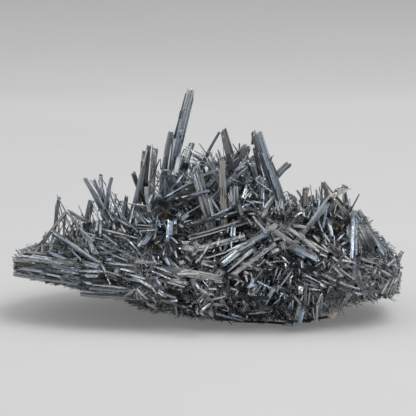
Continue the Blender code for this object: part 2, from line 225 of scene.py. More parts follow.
DUST_COVER = 0.35  # how much of a crystal's colour dust hides
DUST_DULLING = 0.15  # how much rougher dust makes it
TONE_CURVE = 0.75  # below 1, middle tones come out paler

# A crystal's form
FLAT_FACE = 0.36  # half the span of a broad face, as a share of the width
END_STEP = 0.7  # two corners in three are cut back by at least this share of their neighbour's cut
UNEVENNESS = 0.04  # how much the size changes from ring to ring, as a share
UNIT_TIP = (0.55, 0.6)  # width and thickness of a small lath's tip, as shares of its root's

# The backdrop, in metres
FLOOR_FRONT = -2.2
FLOOR_HALF_WIDTH = 3.0
BACKDROP_TOP = 2.6
CURVE_STEPS = 16
PALER_ALONG = (-0.1, 0.42)  # painted light: the floor is painted paler between these places behind the spray
DARKER_ALONG = (0.46, 0.74)  # and the backdrop painted darker between these, for the light that falls off towards its top
PAPER_DIMNESS = 0.97  # brightness of the paper's darker patches


def mesh_of(form, name):
    """A bmesh's own mesh, after which the bmesh is gone."""
    mesh = bpy.data.meshes.new(name)
    form.to_mesh(mesh)
    form.free()
    return mesh


def add_object(name, data):
    """An object that is in the scene."""
    made = bpy.data.objects.new(name, data)
    bpy.context.scene.collection.objects.link(made)
    return made


def points_of(mesh):
    """A mesh's points in millimetres."""
    return [v.co / MM for v in mesh.vertices]


def search_tree(mesh):
    """A mesh as a search tree, in millimetres."""
    return BVHTree.FromPolygons(points_of(mesh), [tuple(p.vertices) for p in mesh.polygons])


# --- node trees ------------------------------------------------------------------------------------


def socket_of(sockets, key):
    """A node's socket by its number, or the first one in use that has that name."""
    if isinstance(key, int):
        return sockets[key]
    return next(s for s in sockets if s.enabled and s.name == key)


class Wiring:
    """A node tree that is being wired up."""

    def __init__(self, tree):
        self.tree = tree

    def fill(self, node, inputs):
        """Sets a node's inputs, or links them where they are given another node's output."""
        for key, value in inputs.items():
            target = socket_of(node.inputs, key)
            if isinstance(value, bpy.types.NodeSocket):
                self.tree.links.new(value, target)
            else:
                target.default_value = value

    def add(self, kind, inputs=None, output=None, **settings):
        """Makes a node, fills its inputs, and returns one output, or the first one in use."""
        node = self.tree.nodes.new(kind)
        for name, value in settings.items():
            setattr(node, name, value)
        self.fill(node, inputs or {})
        if output is not None:
            return socket_of(node.outputs, output)
        return next((s for s in node.outputs if s.enabled), None)

    def math(self, operation, *values):
        return self.add("ShaderNodeMath", dict(enumerate(values)), operation=operation)

    def times(self, one, other):
        return self.math("MULTIPLY", one, other)

    def vector(self, operation, *values):
        return self.add("ShaderNodeVectorMath", dict(enumerate(values)), operation=operation)

    def scaled(self, vector, share):
        return self.add("ShaderNodeVectorMath", {0: vector, "Scale": share}, operation="SCALE")

    def measure(self, operation, one, other):
        """A number that is worked out from two vectors."""
        return self.add("ShaderNodeVectorMath", {0: one, 1: other}, output="Value", operation=operation)

    def part(self, vector, axis):
        """A vector's part along one axis."""
        return self.add("ShaderNodeSeparateXYZ", {0: vector}, output="XYZ".index(axis))

    def mapped(self, value, start, end, low=0.0, high=1.0):
        """A value that runs from start to end, made to run from low to high and held between them."""
        return self.add("ShaderNodeMapRange", {0: value, 1: start, 2: end, 3: low, 4: high})

    def noise(self, place, scale, detail):
        return self.add("ShaderNodeTexNoise", {"Vector": place, "Scale": scale, "Detail": detail}, output=0)

    def tinted(self, base, colour, share):
        """A colour turned part of the way to a plain one."""
        return self.add("ShaderNodeMix", {"Factor": share, 6: base, 7: (*colour, 1.0)}, output=2,
                        data_type="RGBA")

    def bump(self, height, strength, distance):
        return self.add("ShaderNodeBump", {"Height": height, "Strength": strength, "Distance": distance})

    def named(self, name, kind):
        """A named attribute of the geometry."""
        return self.add("GeometryNodeInputNamedAttribute", {"Name": name}, output="Attribute",
                        data_type=kind)

    def without(self, points, chosen):
        """Points, less the chosen ones."""
        return self.add("GeometryNodeDeleteGeometry", {"Geometry": points, "Selection": chosen},
                        domain="POINT")


# --- finishes --------------------------------------------------------------------------------------


def ramp(wiring, value, *stops):
    """A colour that runs through (place, colour) stops."""
    node = wiring.tree.nodes.new("ShaderNodeValToRGB")
    wiring.tree.links.new(value, node.inputs["Fac"])
    points = node.color_ramp.elements
    while len(points) < len(stops):
        points.new(0.5)
    for point, (place, colour) in zip(points, stops):
        point.position = place
        point.color = (*colour, 1.0)
    return node.outputs["Color"]


def new_material(name):
    made = bpy.data.materials.new(name)
    made.use_nodes = True
    return made, Wiring(made.node_tree), made.node_tree.nodes["Principled BSDF"]


def powder(wiring, place):
    """How much pale powder lies at a place: full in the middle of each patch, broken up towards its rim."""
    total = 0.0
    for at, radius in POWDER:
        away = wiring.measure("DISTANCE", place, tuple(Vector(at) * MM))
        total = wiring.math("MAXIMUM", total, wiring.mapped(away, radius * MM, radius * 0.5 * MM))
    clumps = wiring.mapped(wiring.noise(place, POWDER_SCALE, 3.0), 0.33, 0.5)
    return wiring.times(total, clumps)


@lru_cache(maxsize=None)
def stibnite():
    """Metallic grey crystal: each one has its own tone, hue and polish, held in its shade attribute, with
    fine lines along it and dull, dusty patches.
    """
    look = bpy.context.scene.spray_finish
    made, wiring, shader = new_material("stibnite")
    shade = wiring.add("ShaderNodeAttribute", output="Vector", attribute_name="shade")
    tone, hue, polish = [wiring.part(shade, axis) for axis in "XYZ"]
    place = wiring.add("ShaderNodeTexCoord", output="Object")
    dust = wiring.mapped(wiring.noise(place, DUST_SCALE, 3.0), 0.52, 0.72)
    steel, blue, buff, rust = look.steel, look.blue_steel, look.buff, look.rust
    base = ramp(wiring, hue, (0.0, rust), (0.004, rust), (0.02, buff), (0.18, buff), (0.35, steel),
                (0.6, steel), (0.8, blue), (1.0, blue))
    strength = wiring.mapped(wiring.math("POWER", tone, TONE_CURVE), 0.0, 1.0, look.darkest, look.brightest)
    base = wiring.tinted(wiring.scaled(base, strength), look.dust, wiring.times(dust, DUST_COVER))
    powdered = wiring.times(powder(wiring, place), look.powdered)
    rough = wiring.mapped(polish, 0.0, 1.0, look.smoothest, look.roughest)
    ribs = wiring.add("ShaderNodeUVMap", uv_map="lengthwise")
    ribs = wiring.add("ShaderNodeMapping", {"Vector": ribs, "Scale": (1.0, RIB_STRETCH, 1.0)})
    wiring.fill(shader, {
        "Base Color": wiring.tinted(base, look.powder, powdered),
        "Metallic": wiring.mapped(powdered, 0.0, 1.0, look.metallic, 0.0),
        "Roughness": wiring.math("ADD", rough, wiring.times(dust, DUST_DULLING)),
        "Normal": wiring.bump(wiring.noise(ribs, RIB_SCALE, 4.0), 0.6, 0.2 * MM)})
    return made


@lru_cache(maxsize=None)
def druse():
    """The dark ground between the crystals: a crust of grains too small to tell apart, brown in places."""
    look = bpy.context.scene.spray_finish
    made, wiring, shader = new_material("druse_crust_and_shade")
    place = wiring.add("ShaderNodeTexCoord", output="Object")
    grain = wiring.add("ShaderNodeTexVoronoi", {"Vector": place, "Scale": CRUST_SCALE}, output="Color")
    relief = wiring.add("ShaderNodeTexVoronoi", {"Vector": place, "Scale": CRUST_SCALE}, output="Distance")
    tone = wiring.add("ShaderNodeSeparateColor", {0: grain}, output=0)
    brown = wiring.mapped(wiring.noise(place, STAIN_SCALE, 4.0), 0.58, 0.72)
    base = ramp(wiring, tone, (0.0, look.crust_and_shade_dark), (0.8, look.crust_and_shade_light), (1.0, look.steel))
    wiring.fill(shader, {
        "Base Color": wiring.tinted(base, look.rust, wiring.times(brown, 0.3)),
        "Metallic": 0.7,
        "Roughness": wiring.mapped(tone, 0.0, 1.0, 0.65, 0.3),
        "Normal": wiring.bump(relief, 0.8, 0.4 * MM)})
    return made


@lru_cache(maxsize=None)
def quartz():
    """Buff, cloudy quartz."""
    look = bpy.context.scene.spray_finish
    made, wiring, shader = new_material("quartz_buff")
    cloud = wiring.noise(wiring.add("ShaderNodeTexCoord", output="Object"), QUARTZ_SCALE, 5.0)
    wiring.fill(shader, {
        "Base Color": ramp(wiring, cloud, (0.3, look.quartz_dark), (0.65, look.quartz_light)),
        "Roughness": 0.35,
        "Subsurface Weight": 0.3,
        "Subsurface Radius": (1.0 * MM, 0.8 * MM, 0.6 * MM),
        "Normal": wiring.bump(cloud, 0.5, 0.3 * MM)})
    return made


# --- the ground ------------------------------------------------------------------------------------


@dataclass
class Ground:
    """The form that small crystals grow on, as rows of points with how crystals lie at each."""

    points: np.ndarray  # (sections, sides, 3)
    surface: np.ndarray  # (sections, sides, 3), the smooth outside of the packed mass
    grain: np.ndarray  # (sections, sides, 3)
    rise: np.ndarray  # (sections, sides)
    jumble: np.ndarray  # (sections, sides)
    crowding: np.ndarray  # (sections, sides), 1 where crystals are dense and 0 where there are none


def section_middles(points, places):
    """The middle of the mass at each place along X."""
    middles = []
    for x in places:
        near = points[np.abs(points[:, 0] - x) < SECTION_REACH]
        low, high = near.min(0), near.max(0)
        middles.append((x, (low[1] + high[1]) / 2, (low[2] + high[2]) / 2))
    return np.array(middles)


def windowed(values, window, take):
    """Each value replaced by take() of its neighbours; rows stop at the ends and columns go round."""
    rows = np.arange(len(values))
    stack = []
    for i in range(-window, window + 1):
        shifted = values[np.clip(rows + i, 0, len(values) - 1)]
        stack += [np.roll(shifted, j, axis=1) for j in range(-window, window + 1)]
    return take(np.stack(stack), axis=0)


def grain_at(point):
    """The direction in which crystals lie at a point of the ground, how steeply and how untidily."""
    total, rise, jumble, weights = Vector(), 0.0, 0.0, 0.0
    for grain in GRAINS:
        weight = grain.weight * math.exp(-((point - Vector(grain.at)).length / grain.reach) ** 2) + 1e-6
        along = Vector(grain.towards) if grain.towards else point - Vector(grain.source)
        total += along.normalized() * weight
        rise += grain.rise * weight
        jumble += grain.jumble * weight
        weights += weight
    return total.normalized(), rise / weights, jumble / weights


@lru_cache(maxsize=None)
def ground():
    """The ground under the whole mass, which is met from outside by rays and then set in and smoothed."""
    mesh = frame["nodes"]["crystal_mass"].data
    tree, mass = search_tree(mesh), np.array(points_of(mesh))
    places = np.linspace(mass[:, 0].min() + END_MARGIN, mass[:, 0].max() - END_MARGIN, GROUND_SECTIONS)
    middles = section_middles(mass, places)
    turns = np.linspace(0, 2 * math.pi, GROUND_SIDES, endpoint=False)
    outward = [Vector((0, math.cos(turn), math.sin(turn))) for turn in turns]
    depths = np.zeros((GROUND_SECTIONS, GROUND_SIDES))
    for i, middle in enumerate(middles):
        for j, away in enumerate(outward):
            start = Vector(middle) + away * PROBE_REACH
            found = tree.ray_cast(start, -away, PROBE_REACH)
            depths[i, j] = PROBE_REACH - found[3] if found[0] else MISSED_DEPTH
    depths = windowed(windowed(depths, SMOOTH_WINDOW, np.median), 1, np.mean)
    settings = bpy.context.scene.spray_ground
    shallow, deep = settings.inset_lying / MM, settings.inset_standing / MM
    points, surface, grain = [np.zeros((GROUND_SECTIONS, GROUND_SIDES, 3)) for _ in range(3)]
    rise, jumble, crowding = [np.ones((GROUND_SECTIONS, GROUND_SIDES)) for _ in range(3)]
    for i, middle in enumerate(middles):
        for j, away in enumerate(outward):
            point = Vector(middle) + away * depths[i, j]
            surface[i, j] = point
            grain[i, j], rise[i, j], jumble[i, j] = grain_at(point)
            inset = shallow + (deep - shallow) * rise[i, j]
            point = Vector(middle) + away * max(depths[i, j] * SHALLOWEST, depths[i, j] - inset)
            point += away * noise.noise(point / UNDULATION_SPAN) * UNDULATION
            for hollow in HOLLOWS:
                share = 1 - (point - Vector(hollow.at)).length / hollow.radius
                if share > 0:
                    point -= away * hollow.depth * min(1.0, share * HOLLOW_STEEPNESS)
                    crowding[i, j] *= max(0.0, 1 - HOLLOW_BARENESS * math.sqrt(share))
            point.z = max(point.z, RESTING_PLANE)
            points[i, j] = point
    return Ground(points, surface, grain, rise, jumble, crowding)


def region_of(centre, normal):
    """Which region a face of the ground belongs to."""
    if normal.z < UNDER_SLOPE:
        return "under"
    if centre.y > BACK_START:
        return "back"
    if centre.x < LEFT_END:
        return "left"
    if centre.x > RIGHT_START:
        return "right"
    return "crown" if centre.z > FRONT_TOP else "front"


def ground_form(points, region=None):
    """A closed form over rows of points, or one region of it, in metres, with how crystals lie on it."""
    source = ground()
    form = bmesh.new()
    kinds = form.verts.layers
    layers = {name: (kinds.float_vector if name == "grain" else kinds.float).new(name)
              for name in LIE_OF_CRYSTALS}
    rows = []
    for i, row in enumerate(points):
        made = [form.verts.new(Vector(point) * MM) for point in row]
        for j, vert in enumerate(made):
            for name, layer in layers.items():
                vert[layer] = getattr(source, name)[i, j]
        rows.append(made)
    for near, far in zip(rows, rows[1:]):
        for j in range(GROUND_SIDES):
            k = (j + 1) % GROUND_SIDES
            form.faces.new((near[j], near[k], far[k], far[j]))
    form.faces.new(reversed(rows[0]))
    form.faces.new(rows[-1])
    form.normal_update()
    if sum(face.calc_center_median().dot(face.normal) * face.calc_area() for face in form.faces) < 0:
        bmesh.ops.reverse_faces(form, faces=form.faces)
    if region:
        others = [f for f in form.faces if region_of(f.calc_center_median() / MM, f.normal) != region]
        bmesh.ops.delete(form, geom=others, context="FACES")
    return form


# --- crystals --------------------------------------------------------------------------------------


class CrystalMesh:
    """A mesh that crystals are added to, with lengthwise UVs and a shade for each crystal."""

    def __init__(self):
        self.form = bmesh.new()
        self.uv = self.form.loops.layers.uv.new("lengthwise")
        self.shade = self.form.verts.layers.float_vector.new("shade")

    def add(self, rings, shade, ribs=None):
        """A closed prism over rings of equal length, from root to tip, whose points are millimetres.
        Its tone changes by ribs, an amount for each corner of its section.
        """
        rows = []
        for ring in rings:
            row = [self.form.verts.new(Vector(point) * MM) for point in ring]
            for vert, change in zip(row, ribs or [0.0] * len(row)):
                vert[self.shade] = (min(1.0, max(0.0, shade[0] + change)), shade[1], shade[2])
            rows.append(row)
        count = len(rings[0])
        length = 0.0
        for near, far in zip(rows, rows[1:]):
            step = (near[0].co - far[0].co).length / MM
            for i in range(count):
                j = (i + 1) % count
                face = self.form.faces.new((near[i], near[j], far[j], far[i]))
                corners = ((i, length), (i + 1, length), (i + 1, length + step), (i, length + step))
                for loop, (across, along) in zip(face.loops, corners):
                    loop[self.uv].uv = (across / 4, along)
            length += step
        self.form.faces.new(reversed(rows[0]))
        middle = self.form.verts.new(sum((v.co for v in rows[-1]), Vector()) / count)
        middle[self.shade] = shade
        for i in range(count):
            self.form.faces.new((rows[-1][i], rows[-1][(i + 1) % count], middle))

    def finish(self, name):
        bmesh.ops.recalc_face_normals(self.form, faces=self.form.faces)
        return mesh_of(self.form, name)


def grooved_section(width, thickness, ribs, groove, pick):
    """The corners of a six-sided section whose two broad faces carry lengthwise ribs."""
    half, flat = width / 2, width * FLAT_FACE
    corners = [(half, pick.uniform(-0.1, 0.1) * thickness)]
    for side in (1, -1):
        for i in range(ribs + 1):
            across = side * flat * (1 - 2 * i / ribs + pick.uniform(-0.3, 0.3) / ribs)
            deep = groove * (pick.uniform(0.5, 1.0) if i % 2 else pick.uniform(0.0, 0.25))
            corners.append((across, side * thickness * (0.5 - deep)))
        if side == 1:
            corners.append((-half, pick.uniform(-0.1, 0.1) * thickness))
    return corners


@dataclass
class Axis:
    """A crystal's path from root to tip, with its section's directions and size, in millimetres."""

    path: list
    across: Vector
    through: Vector
    width: float
    thickness: float

    def at(self, share):
        """The point that far along the path."""
        steps = [(b - a).length for a, b in zip(self.path, self.path[1:])]
        distance = share * sum(steps)
        for a, b, step in zip(self.path, self.path[1:], steps):
            if distance <= step or b is self.path[-1]:
                return a.lerp(b, distance / step)
            distance -= step

    def length(self):
        return sum((b - a).length for a, b in zip(self.path, self.path[1:]))


def node_axis(name):
    """The axis of a packed blade, read from the rings of six corners that its mesh is made of."""
    form = bmesh.new()
    form.from_mesh(frame["nodes"][name].data)
    bmesh.ops.remove_doubles(form, verts=form.verts, dist=WELD)
    points = np.array([v.co / MM for v in form.verts])
    form.free()
    run = np.linalg.svd(points - points.mean(0))[2][0]
    points = points[np.argsort(points @ run)]
    rings = np.split(points, len(points) // 6)
    spans = [max(np.linalg.norm(a - b) for a in ring for b in ring) for ring in rings]
    if spans[0] < spans[-1]:
        rings.reverse()
    path = [Vector(ring.mean(0)) for ring in rings]
    along = (path[-1] - path[0]).normalized()
    wide = max(((a - b) for a in rings[0] for b in rings[0]), key=np.linalg.norm)
    width = float(np.linalg.norm(wide))
    across = Vector(wide)
    across = (across - along * across.dot(along)).normalized()
    through = along.cross(across)
    depths = [Vector(p).dot(through) for p in rings[0]]
    return Axis(path, across, through, width, max(depths) - min(depths))


@dataclass
class Habit:
    """How a crystal is striated, stepped and broken, and its tone, hue and polish from 0 to 1."""

    ribs: int = 5
    groove: float = 0.22
    laths: int = 3  # thinner crystals grown alongside
    splay: float = 1.5  # how far the laths lean apart, in degrees
    jag: float = 0.5  # how ragged the end is, in widths
    taper: float = 0.12  # how much thinner the tip is than the root, as a share
    bow: float = 0.012  # sideways bend, as a share of the length
    streaks: float = 0.3  # how much the tone changes from rib to rib, painted light and shade in lines along the striations
    stray: float = 0.12  # how far the tone of one crystal strays
    tone: float = 0.55
    hue: float = 0.55
    polish: float = 0.5


def add_crystal(mesh, axis, habit, pick, end=1.0, rings=6):
    """One striated prism along an axis, from its root to a share of its length."""
    section = grooved_section(axis.width, axis.thickness, habit.ribs, habit.groove, pick)
    bow = pick.uniform(-1, 1) * habit.bow * axis.length()
    along = (axis.path[-1] - axis.path[0]).normalized()
    ends = [pick.uniform(-habit.jag, 0) * axis.width for _ in section]
    ends = [min(ends[i], ends[i - 1] * END_STEP) if i % 3 else ends[i] for i in range(len(ends))]
    rows = []
    for step in range(rings):
        share = end * step / (rings - 1)
        centre = axis.at(share) + axis.through * bow * math.sin(math.pi * share)
        size = 1 - habit.taper * share + pick.uniform(-UNEVENNESS, UNEVENNESS)
        row = []
        for i, (a, b) in enumerate(section):
            point = centre + axis.across * a * size + axis.through * b * size
            if step == rings - 1:
                point += along * ends[i]
            row.append(point)
        rows.append(row)
    shade = (habit.tone + pick.uniform(-1, 1) * habit.stray, habit.hue + pick.uniform(-0.08, 0.08),
             habit.polish + pick.uniform(-0.25, 0.25))
    # Painted light and shade: each corner of the section gets its own tone, for light and dark lines along
    # the ribs
    ribs = [pick.uniform(-habit.streaks, habit.streaks) for _ in section]
    mesh.add(rows, [min(1.0, max(0.0, value)) for value in shade], ribs)


def add_bundle(mesh, axis, habit, pick):
    """A striated crystal with thinner ones grown alongside it, which end at steps."""
    add_crystal(mesh, axis, habit, pick)
    for _ in range(habit.laths):
        aside = pick.uniform(-0.42, 0.42) * axis.width
        proud = pick.choice((-0.5, 0.5)) * axis.thickness * pick.uniform(0.5, 1.0)
        offset = axis.across * aside + axis.through * proud
        lean = Vector([pick.uniform(-1, 1) for _ in range(3)]) * math.tan(math.radians(habit.splay))
        end = pick.uniform(0.4, 0.97)
        path = [point + offset for point in axis.path]
        path[-1] = path[-1] + lean * axis.length()
        width = axis.width * pick.uniform(0.22, 0.48)
        lath = Axis(path, axis.across, axis.through, width, axis.thickness * pick.uniform(0.35, 0.7))
        thin = Habit(ribs=2, groove=habit.groove, jag=1.2, bow=habit.bow, streaks=habit.streaks,
                     stray=habit.stray * 2, tone=habit.tone, hue=habit.hue, polish=habit.polish)
        add_crystal(mesh, lath, thin, pick, end=end, rings=4)


HABITS = {
    "crown_spire": Habit(ribs=6, laths=4, jag=0.8, tone=0.95, hue=0.6, polish=0.35),
    "crown_spire_side": Habit(ribs=3, laths=1, jag=0.4, tone=0.45, hue=0.7),
    "crown_pale_bar": Habit(ribs=5, laths=1, tone=0.95, hue=0.16, polish=0.7),
    "crown_striated_fan": Habit(ribs=8, groove=0.35, laths=5, splay=3.0, jag=0.4, tone=0.8, hue=0.35),
    "crown_prow_right": Habit(ribs=5, laths=2, jag=0.5, tone=0.7, hue=0.75, polish=0.4),
    "crown_low_lath": Habit(ribs=3, laths=1, tone=0.4, hue=0.2),
    "crown_short_pale": Habit(ribs=3, laths=0, tone=0.8, hue=0.6, polish=0.6),
    "right_slab": Habit(ribs=3, groove=0.08, laths=1, tone=0.22, hue=0.3, polish=0.95, streaks=0.1),
    "right_brown_blade": Habit(ribs=4, laths=2, tone=0.5, hue=0.14, polish=0.7),
    "right_post": Habit(ribs=4, laths=1, tone=0.65, hue=0.85),
    "right_curled_blade": Habit(ribs=4, laths=1, jag=0.4, tone=0.8, hue=0.35, polish=0.8),
    "front_diagonal_upper": Habit(ribs=4, laths=2, tone=0.33, hue=0.5, polish=0.9),
    "front_diagonal_lower": Habit(ribs=4, laths=2, tone=0.33, hue=0.42, polish=0.9),
    "front_sheaf_upper": Habit(ribs=3, groove=0.14, laths=2, tone=0.28, hue=0.48, polish=0.95, streaks=0.2),
    "front_sheaf_middle": Habit(ribs=3, groove=0.14, laths=2, tone=0.3, hue=0.48, polish=0.95, streaks=0.2),
    "front_sheaf_lower": Habit(ribs=3, groove=0.14, laths=2, tone=0.38, hue=0.5, polish=0.95, streaks=0.2),
    "front_plate": Habit(ribs=5, laths=2, tone=0.62, hue=0.25, polish=0.9),
    "left_shelf_blade": Habit(ribs=5, laths=3, tone=0.7, hue=0.3, polish=0.7),
    "left_shelf_lip": Habit(ribs=4, laths=2, tone=0.25, hue=0.4),
    "left_shelf_slab": Habit(ribs=5, laths=3, tone=0.3, hue=0.4),
}


def add_piece(name, mesh, surface, slot, *replaced):
    """A finished piece, which rides on the root body and stands for the packed nodes that it replaces."""
    if not mesh.materials:
        mesh.materials.append(surface)
    piece = add_object(name, mesh)
    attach(piece, "root")
    if replaced:
        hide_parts(*replaced)
    return piece


# --- thin crystals that show on the front ----------------------------------------------------------

# Thin crystals on the front, each from its root to its tip, by how far across and up from the middle of
# the view they show: across, up, across, up, width, tone from black to bright, and for some a hue, as in
# the finish, where -0.1 is rust
# Painted shade: slivers of the lowest tone are black crystals that stand for the shadowed gaps between
# crystals
SLIVERS = {}
SLIVERS["left_shelf"] = [
    (-43.5, -14.4, -54, -13.1, .9, .8), (-46, -14.9, -54.8, -14.1, .7, .35),
    (-40.5, -15.4, -53.3, -14.7, .5, .5), (-40.6, -15.5, -46, -15.4, .35, .9),
    (-44.5, -16.6, -53.5, -15.6, 1.1, .1), (-46.5, -17.8, -52.8, -16.9, .7, .7),
    (-47, -16.4, -51.5, -16.2, .5, .35), (-48.8, -15.1, -49.3, -17, .4, .95),
    (-37.5, -16.9, -41.8, -16.6, .6, .9, .95), (-36, -16.1, -41.5, -15.9, .5, .3),
    (-39.5, -14.3, -43.7, -13.2, .6, .7), (-37, -17.6, -46, -15.8, 1.2, .35),
    (-38, -18.6, -47, -17.2, .8, .15), (-41, -19.3, -46.5, -18.2, .6, .6),
    (-36.5, -18.3, -43, -17.6, .7, .55), (-36, -19.8, -42, -19, .5, .2), (-30.5, -16.5, -36, -15.5, 1.3, .6),
    (-29.6, -17.7, -36.5, -17.6, 1, .8), (-31, -19, -36, -18.8, 1, .5), (-28, -20.6, -36, -19.9, 1.2, .04),
    (-38.3, -15.3, -39, -15.2, .5, 1, .2), (-22, -16, -29.4, -15.3, .6, .85),
    (-22.2, -16.6, -29, -16.1, .5, .08), (-20.8, -17.9, -24.8, -17, .5, .85),
    (-27, -14.4, -28.9, -14.3, .6, 1), (-25.2, -17.8, -26.9, -17.6, 1.3, .85),
    (-24.5, -18.9, -30.5, -17.2, .8, .45), (-19, -20.6, -25, -19.2, .9, .4),
    (-25.5, -20.3, -30, -18.8, .7, .1), (-17.5, -19.8, -23.5, -18.3, .7, .6),
]
SLIVERS["left_edge"] = [
    (-23.8, -22.3, -34, -21.3, .6, .65), (-22, -22.9, -33.8, -22, .5, .1),
    (-24, -23.3, -33.5, -22.5, .6, .5), (-23, -24.5, -31, -24.3, .8, .15),
    (-32.6, -21.2, -35.3, -20.6, .7, .75), (-25.5, -23.8, -31.5, -23.4, .7, .3),
    (-28.8, -18.2, -27.3, -21.5, .45, .85), (-30, -15.4, -28.3, -18.3, .7, .6),
    (-28.9, -18, -26.9, -21.3, .3, .04), (-15.6, -22.3, -21.2, -19.1, .8, .85),
    (-14.5, -24, -21, -20.4, 1, .04), (-15.6, -22.4, -14.3, -24.3, .5, .85),
    (-14.8, -27.9, -17.5, -26.5, .8, .6), (-20.2, -25.4, -22.3, -24.9, .4, .08),
    (-43, -18.9, -47.5, -17.9, .35, .4), (-49, -18.9, -50.5, -17.6, .5, .35),
    (-41, -19.9, -42.5, -18.9, .6, .4), (-37.5, -20.6, -40.5, -19.4, .3, .35),
    (-36, -19.8, -38.2, -21.2, .25, .4), (-35, -20, -37, -21, .25, .3),
]
SLIVERS["left_starburst"] = [
    (-20.5, -22.8, -23.5, -24.8, .35, .85), (-20.5, -22.9, -22.4, -24.6, .3, .75),
    (-20.4, -22.9, -19.7, -25.8, .4, 1), (-20.3, -22.9, -18.4, -25.6, .45, 1),
    (-20, -22.8, -16.9, -25.6, .8, .85), (-20.1, -22.9, -18, -26.9, .3, .3),
    (-20.4, -23.2, -19.8, -27, .5, .1), (-20.6, -22.8, -21.2, -21.6, .35, .6),
    (-20.2, -22.7, -18.6, -21.8, .4, .5), (-20.6, -23, -23.9, -23.4, .3, .55),
]
SLIVERS["left_long"] = [
    (-43.2, -7, -31, -15.3, .6, .75), (-39.4, -9, -30, -15.6, .45, 1), (-41.5, -8.8, -33, -14.4, .35, .1),
    (-38.5, -11.7, -35.5, -14.5, .4, .6), (-34.4, -11.6, -33.2, -12.8, .35, 1),
    (-31.4, -14.9, -29.6, -15.2, .9, 1),
]
SLIVERS["left_eave"] = [
    (-42.8, -8.2, -43.7, -10.2, .35, .95), (-43.7, -11, -44.7, -12.6, .4, .85),
    (-46.2, -9.9, -46.5, -13, .7, .3), (-52.3, -12, -47, -10.1, .7, .5), (-47, -9.9, -44, -6.4, .6, .25),
    (-46.2, -8.4, -45.2, -6.6, .5, .4), (-44, -12.6, -40, -14.2, .6, .65),
    (-45.5, -9.5, -42.5, -12.5, .4, .2), (-42, -11, -38.5, -13.6, .6, .12), (-43, -13, -37.5, -12.2, .5, .4),
    (-44.8, -8.9, -43, -12.8, .5, .5), (-50, -12.3, -45.5, -12.9, .5, .55),
]
SLIVERS["left_peak"] = [
    (-40.2, -.3, -42.4, 3.8, .4, .5), (-42.9, -4, -42.1, 2.4, .6, .35), (-41, -1.2, -41.9, 2.1, .35, .08),
    (-41.5, -1.9, -41.8, -.4, .3, .6), (-35, -2.3, -36.3, .9, .5, .75), (-37.8, -6.8, -39.9, -3.1, .5, .95),
    (-38, -5.8, -36.2, -5.1, .45, 1), (-41.8, -6.8, -41.8, -3.5, .7, .5, .15),
    (-38.4, -8.2, -39.3, -6, .5, .65), (-40.3, -8.6, -40.6, -4.5, .6, .25),
    (-36.5, -4.6, -39.6, -1.2, .6, .3), (-35, -3.2, -39.5, -.4, .6, .45), (-34.2, -4, -38.6, -2.4, .5, .55),
    (-37, -8, -36.4, -5.9, .4, .2),
]
SLIVERS["left_fan"] = [
    (-30, -1, -34.6, 8.3, .6, .3), (-30.4, 1, -34, 8, .45, .85), (-30.9, 4.8, -33, 8, .4, .85),
    (-29.7, 2.6, -32.2, 7.7, .6, .5), (-34.6, -4.5, -33.1, 2.6, .9, .45),
    (-30, -3.2, -32.8, 2.4, .5, 1, .95), (-29.9, -.8, -31.8, 3, .5, .3), (-29, -.2, -31, 4.3, .5, .85, .95),
    (-29.4, 3.4, -30.2, 9.1, .9, .4), (-29, 2.6, -30.9, 8, .4, .7), (-28.5, 6.3, -29.8, 8.3, .5, .3),
    (-28.1, 3.5, -28.6, 6.6, .35, .85), (-27.9, 1.4, -26.9, 8.7, .6, .5), (-24.6, 1.2, -27.2, 4.8, .6, .45),
    (-26, .8, -25.9, 4.3, .5, .5), (-23.5, -3.4, -23.9, 2.6, 1, .5), (-23.1, -2.8, -22.5, 3.4, .7, .08),
    (-24, .7, -27.2, 1.8, .5, .2), (-26, -3.9, -28.8, -.5, .7, .65), (-27.3, -3, -29, -.3, .5, .06),
    (-25.2, -3, -26.9, -1, .5, .5), (-28.5, -2, -28.9, 2.4, .6, .4), (-33, -4, -33.2, -.5, .6, .12),
    (-31.2, -6.6, -30.9, -3, .6, 1), (-30.3, -7.8, -30, -3.2, .5, .7), (-32, -4.6, -32.3, -1.6, .5, .55),
]
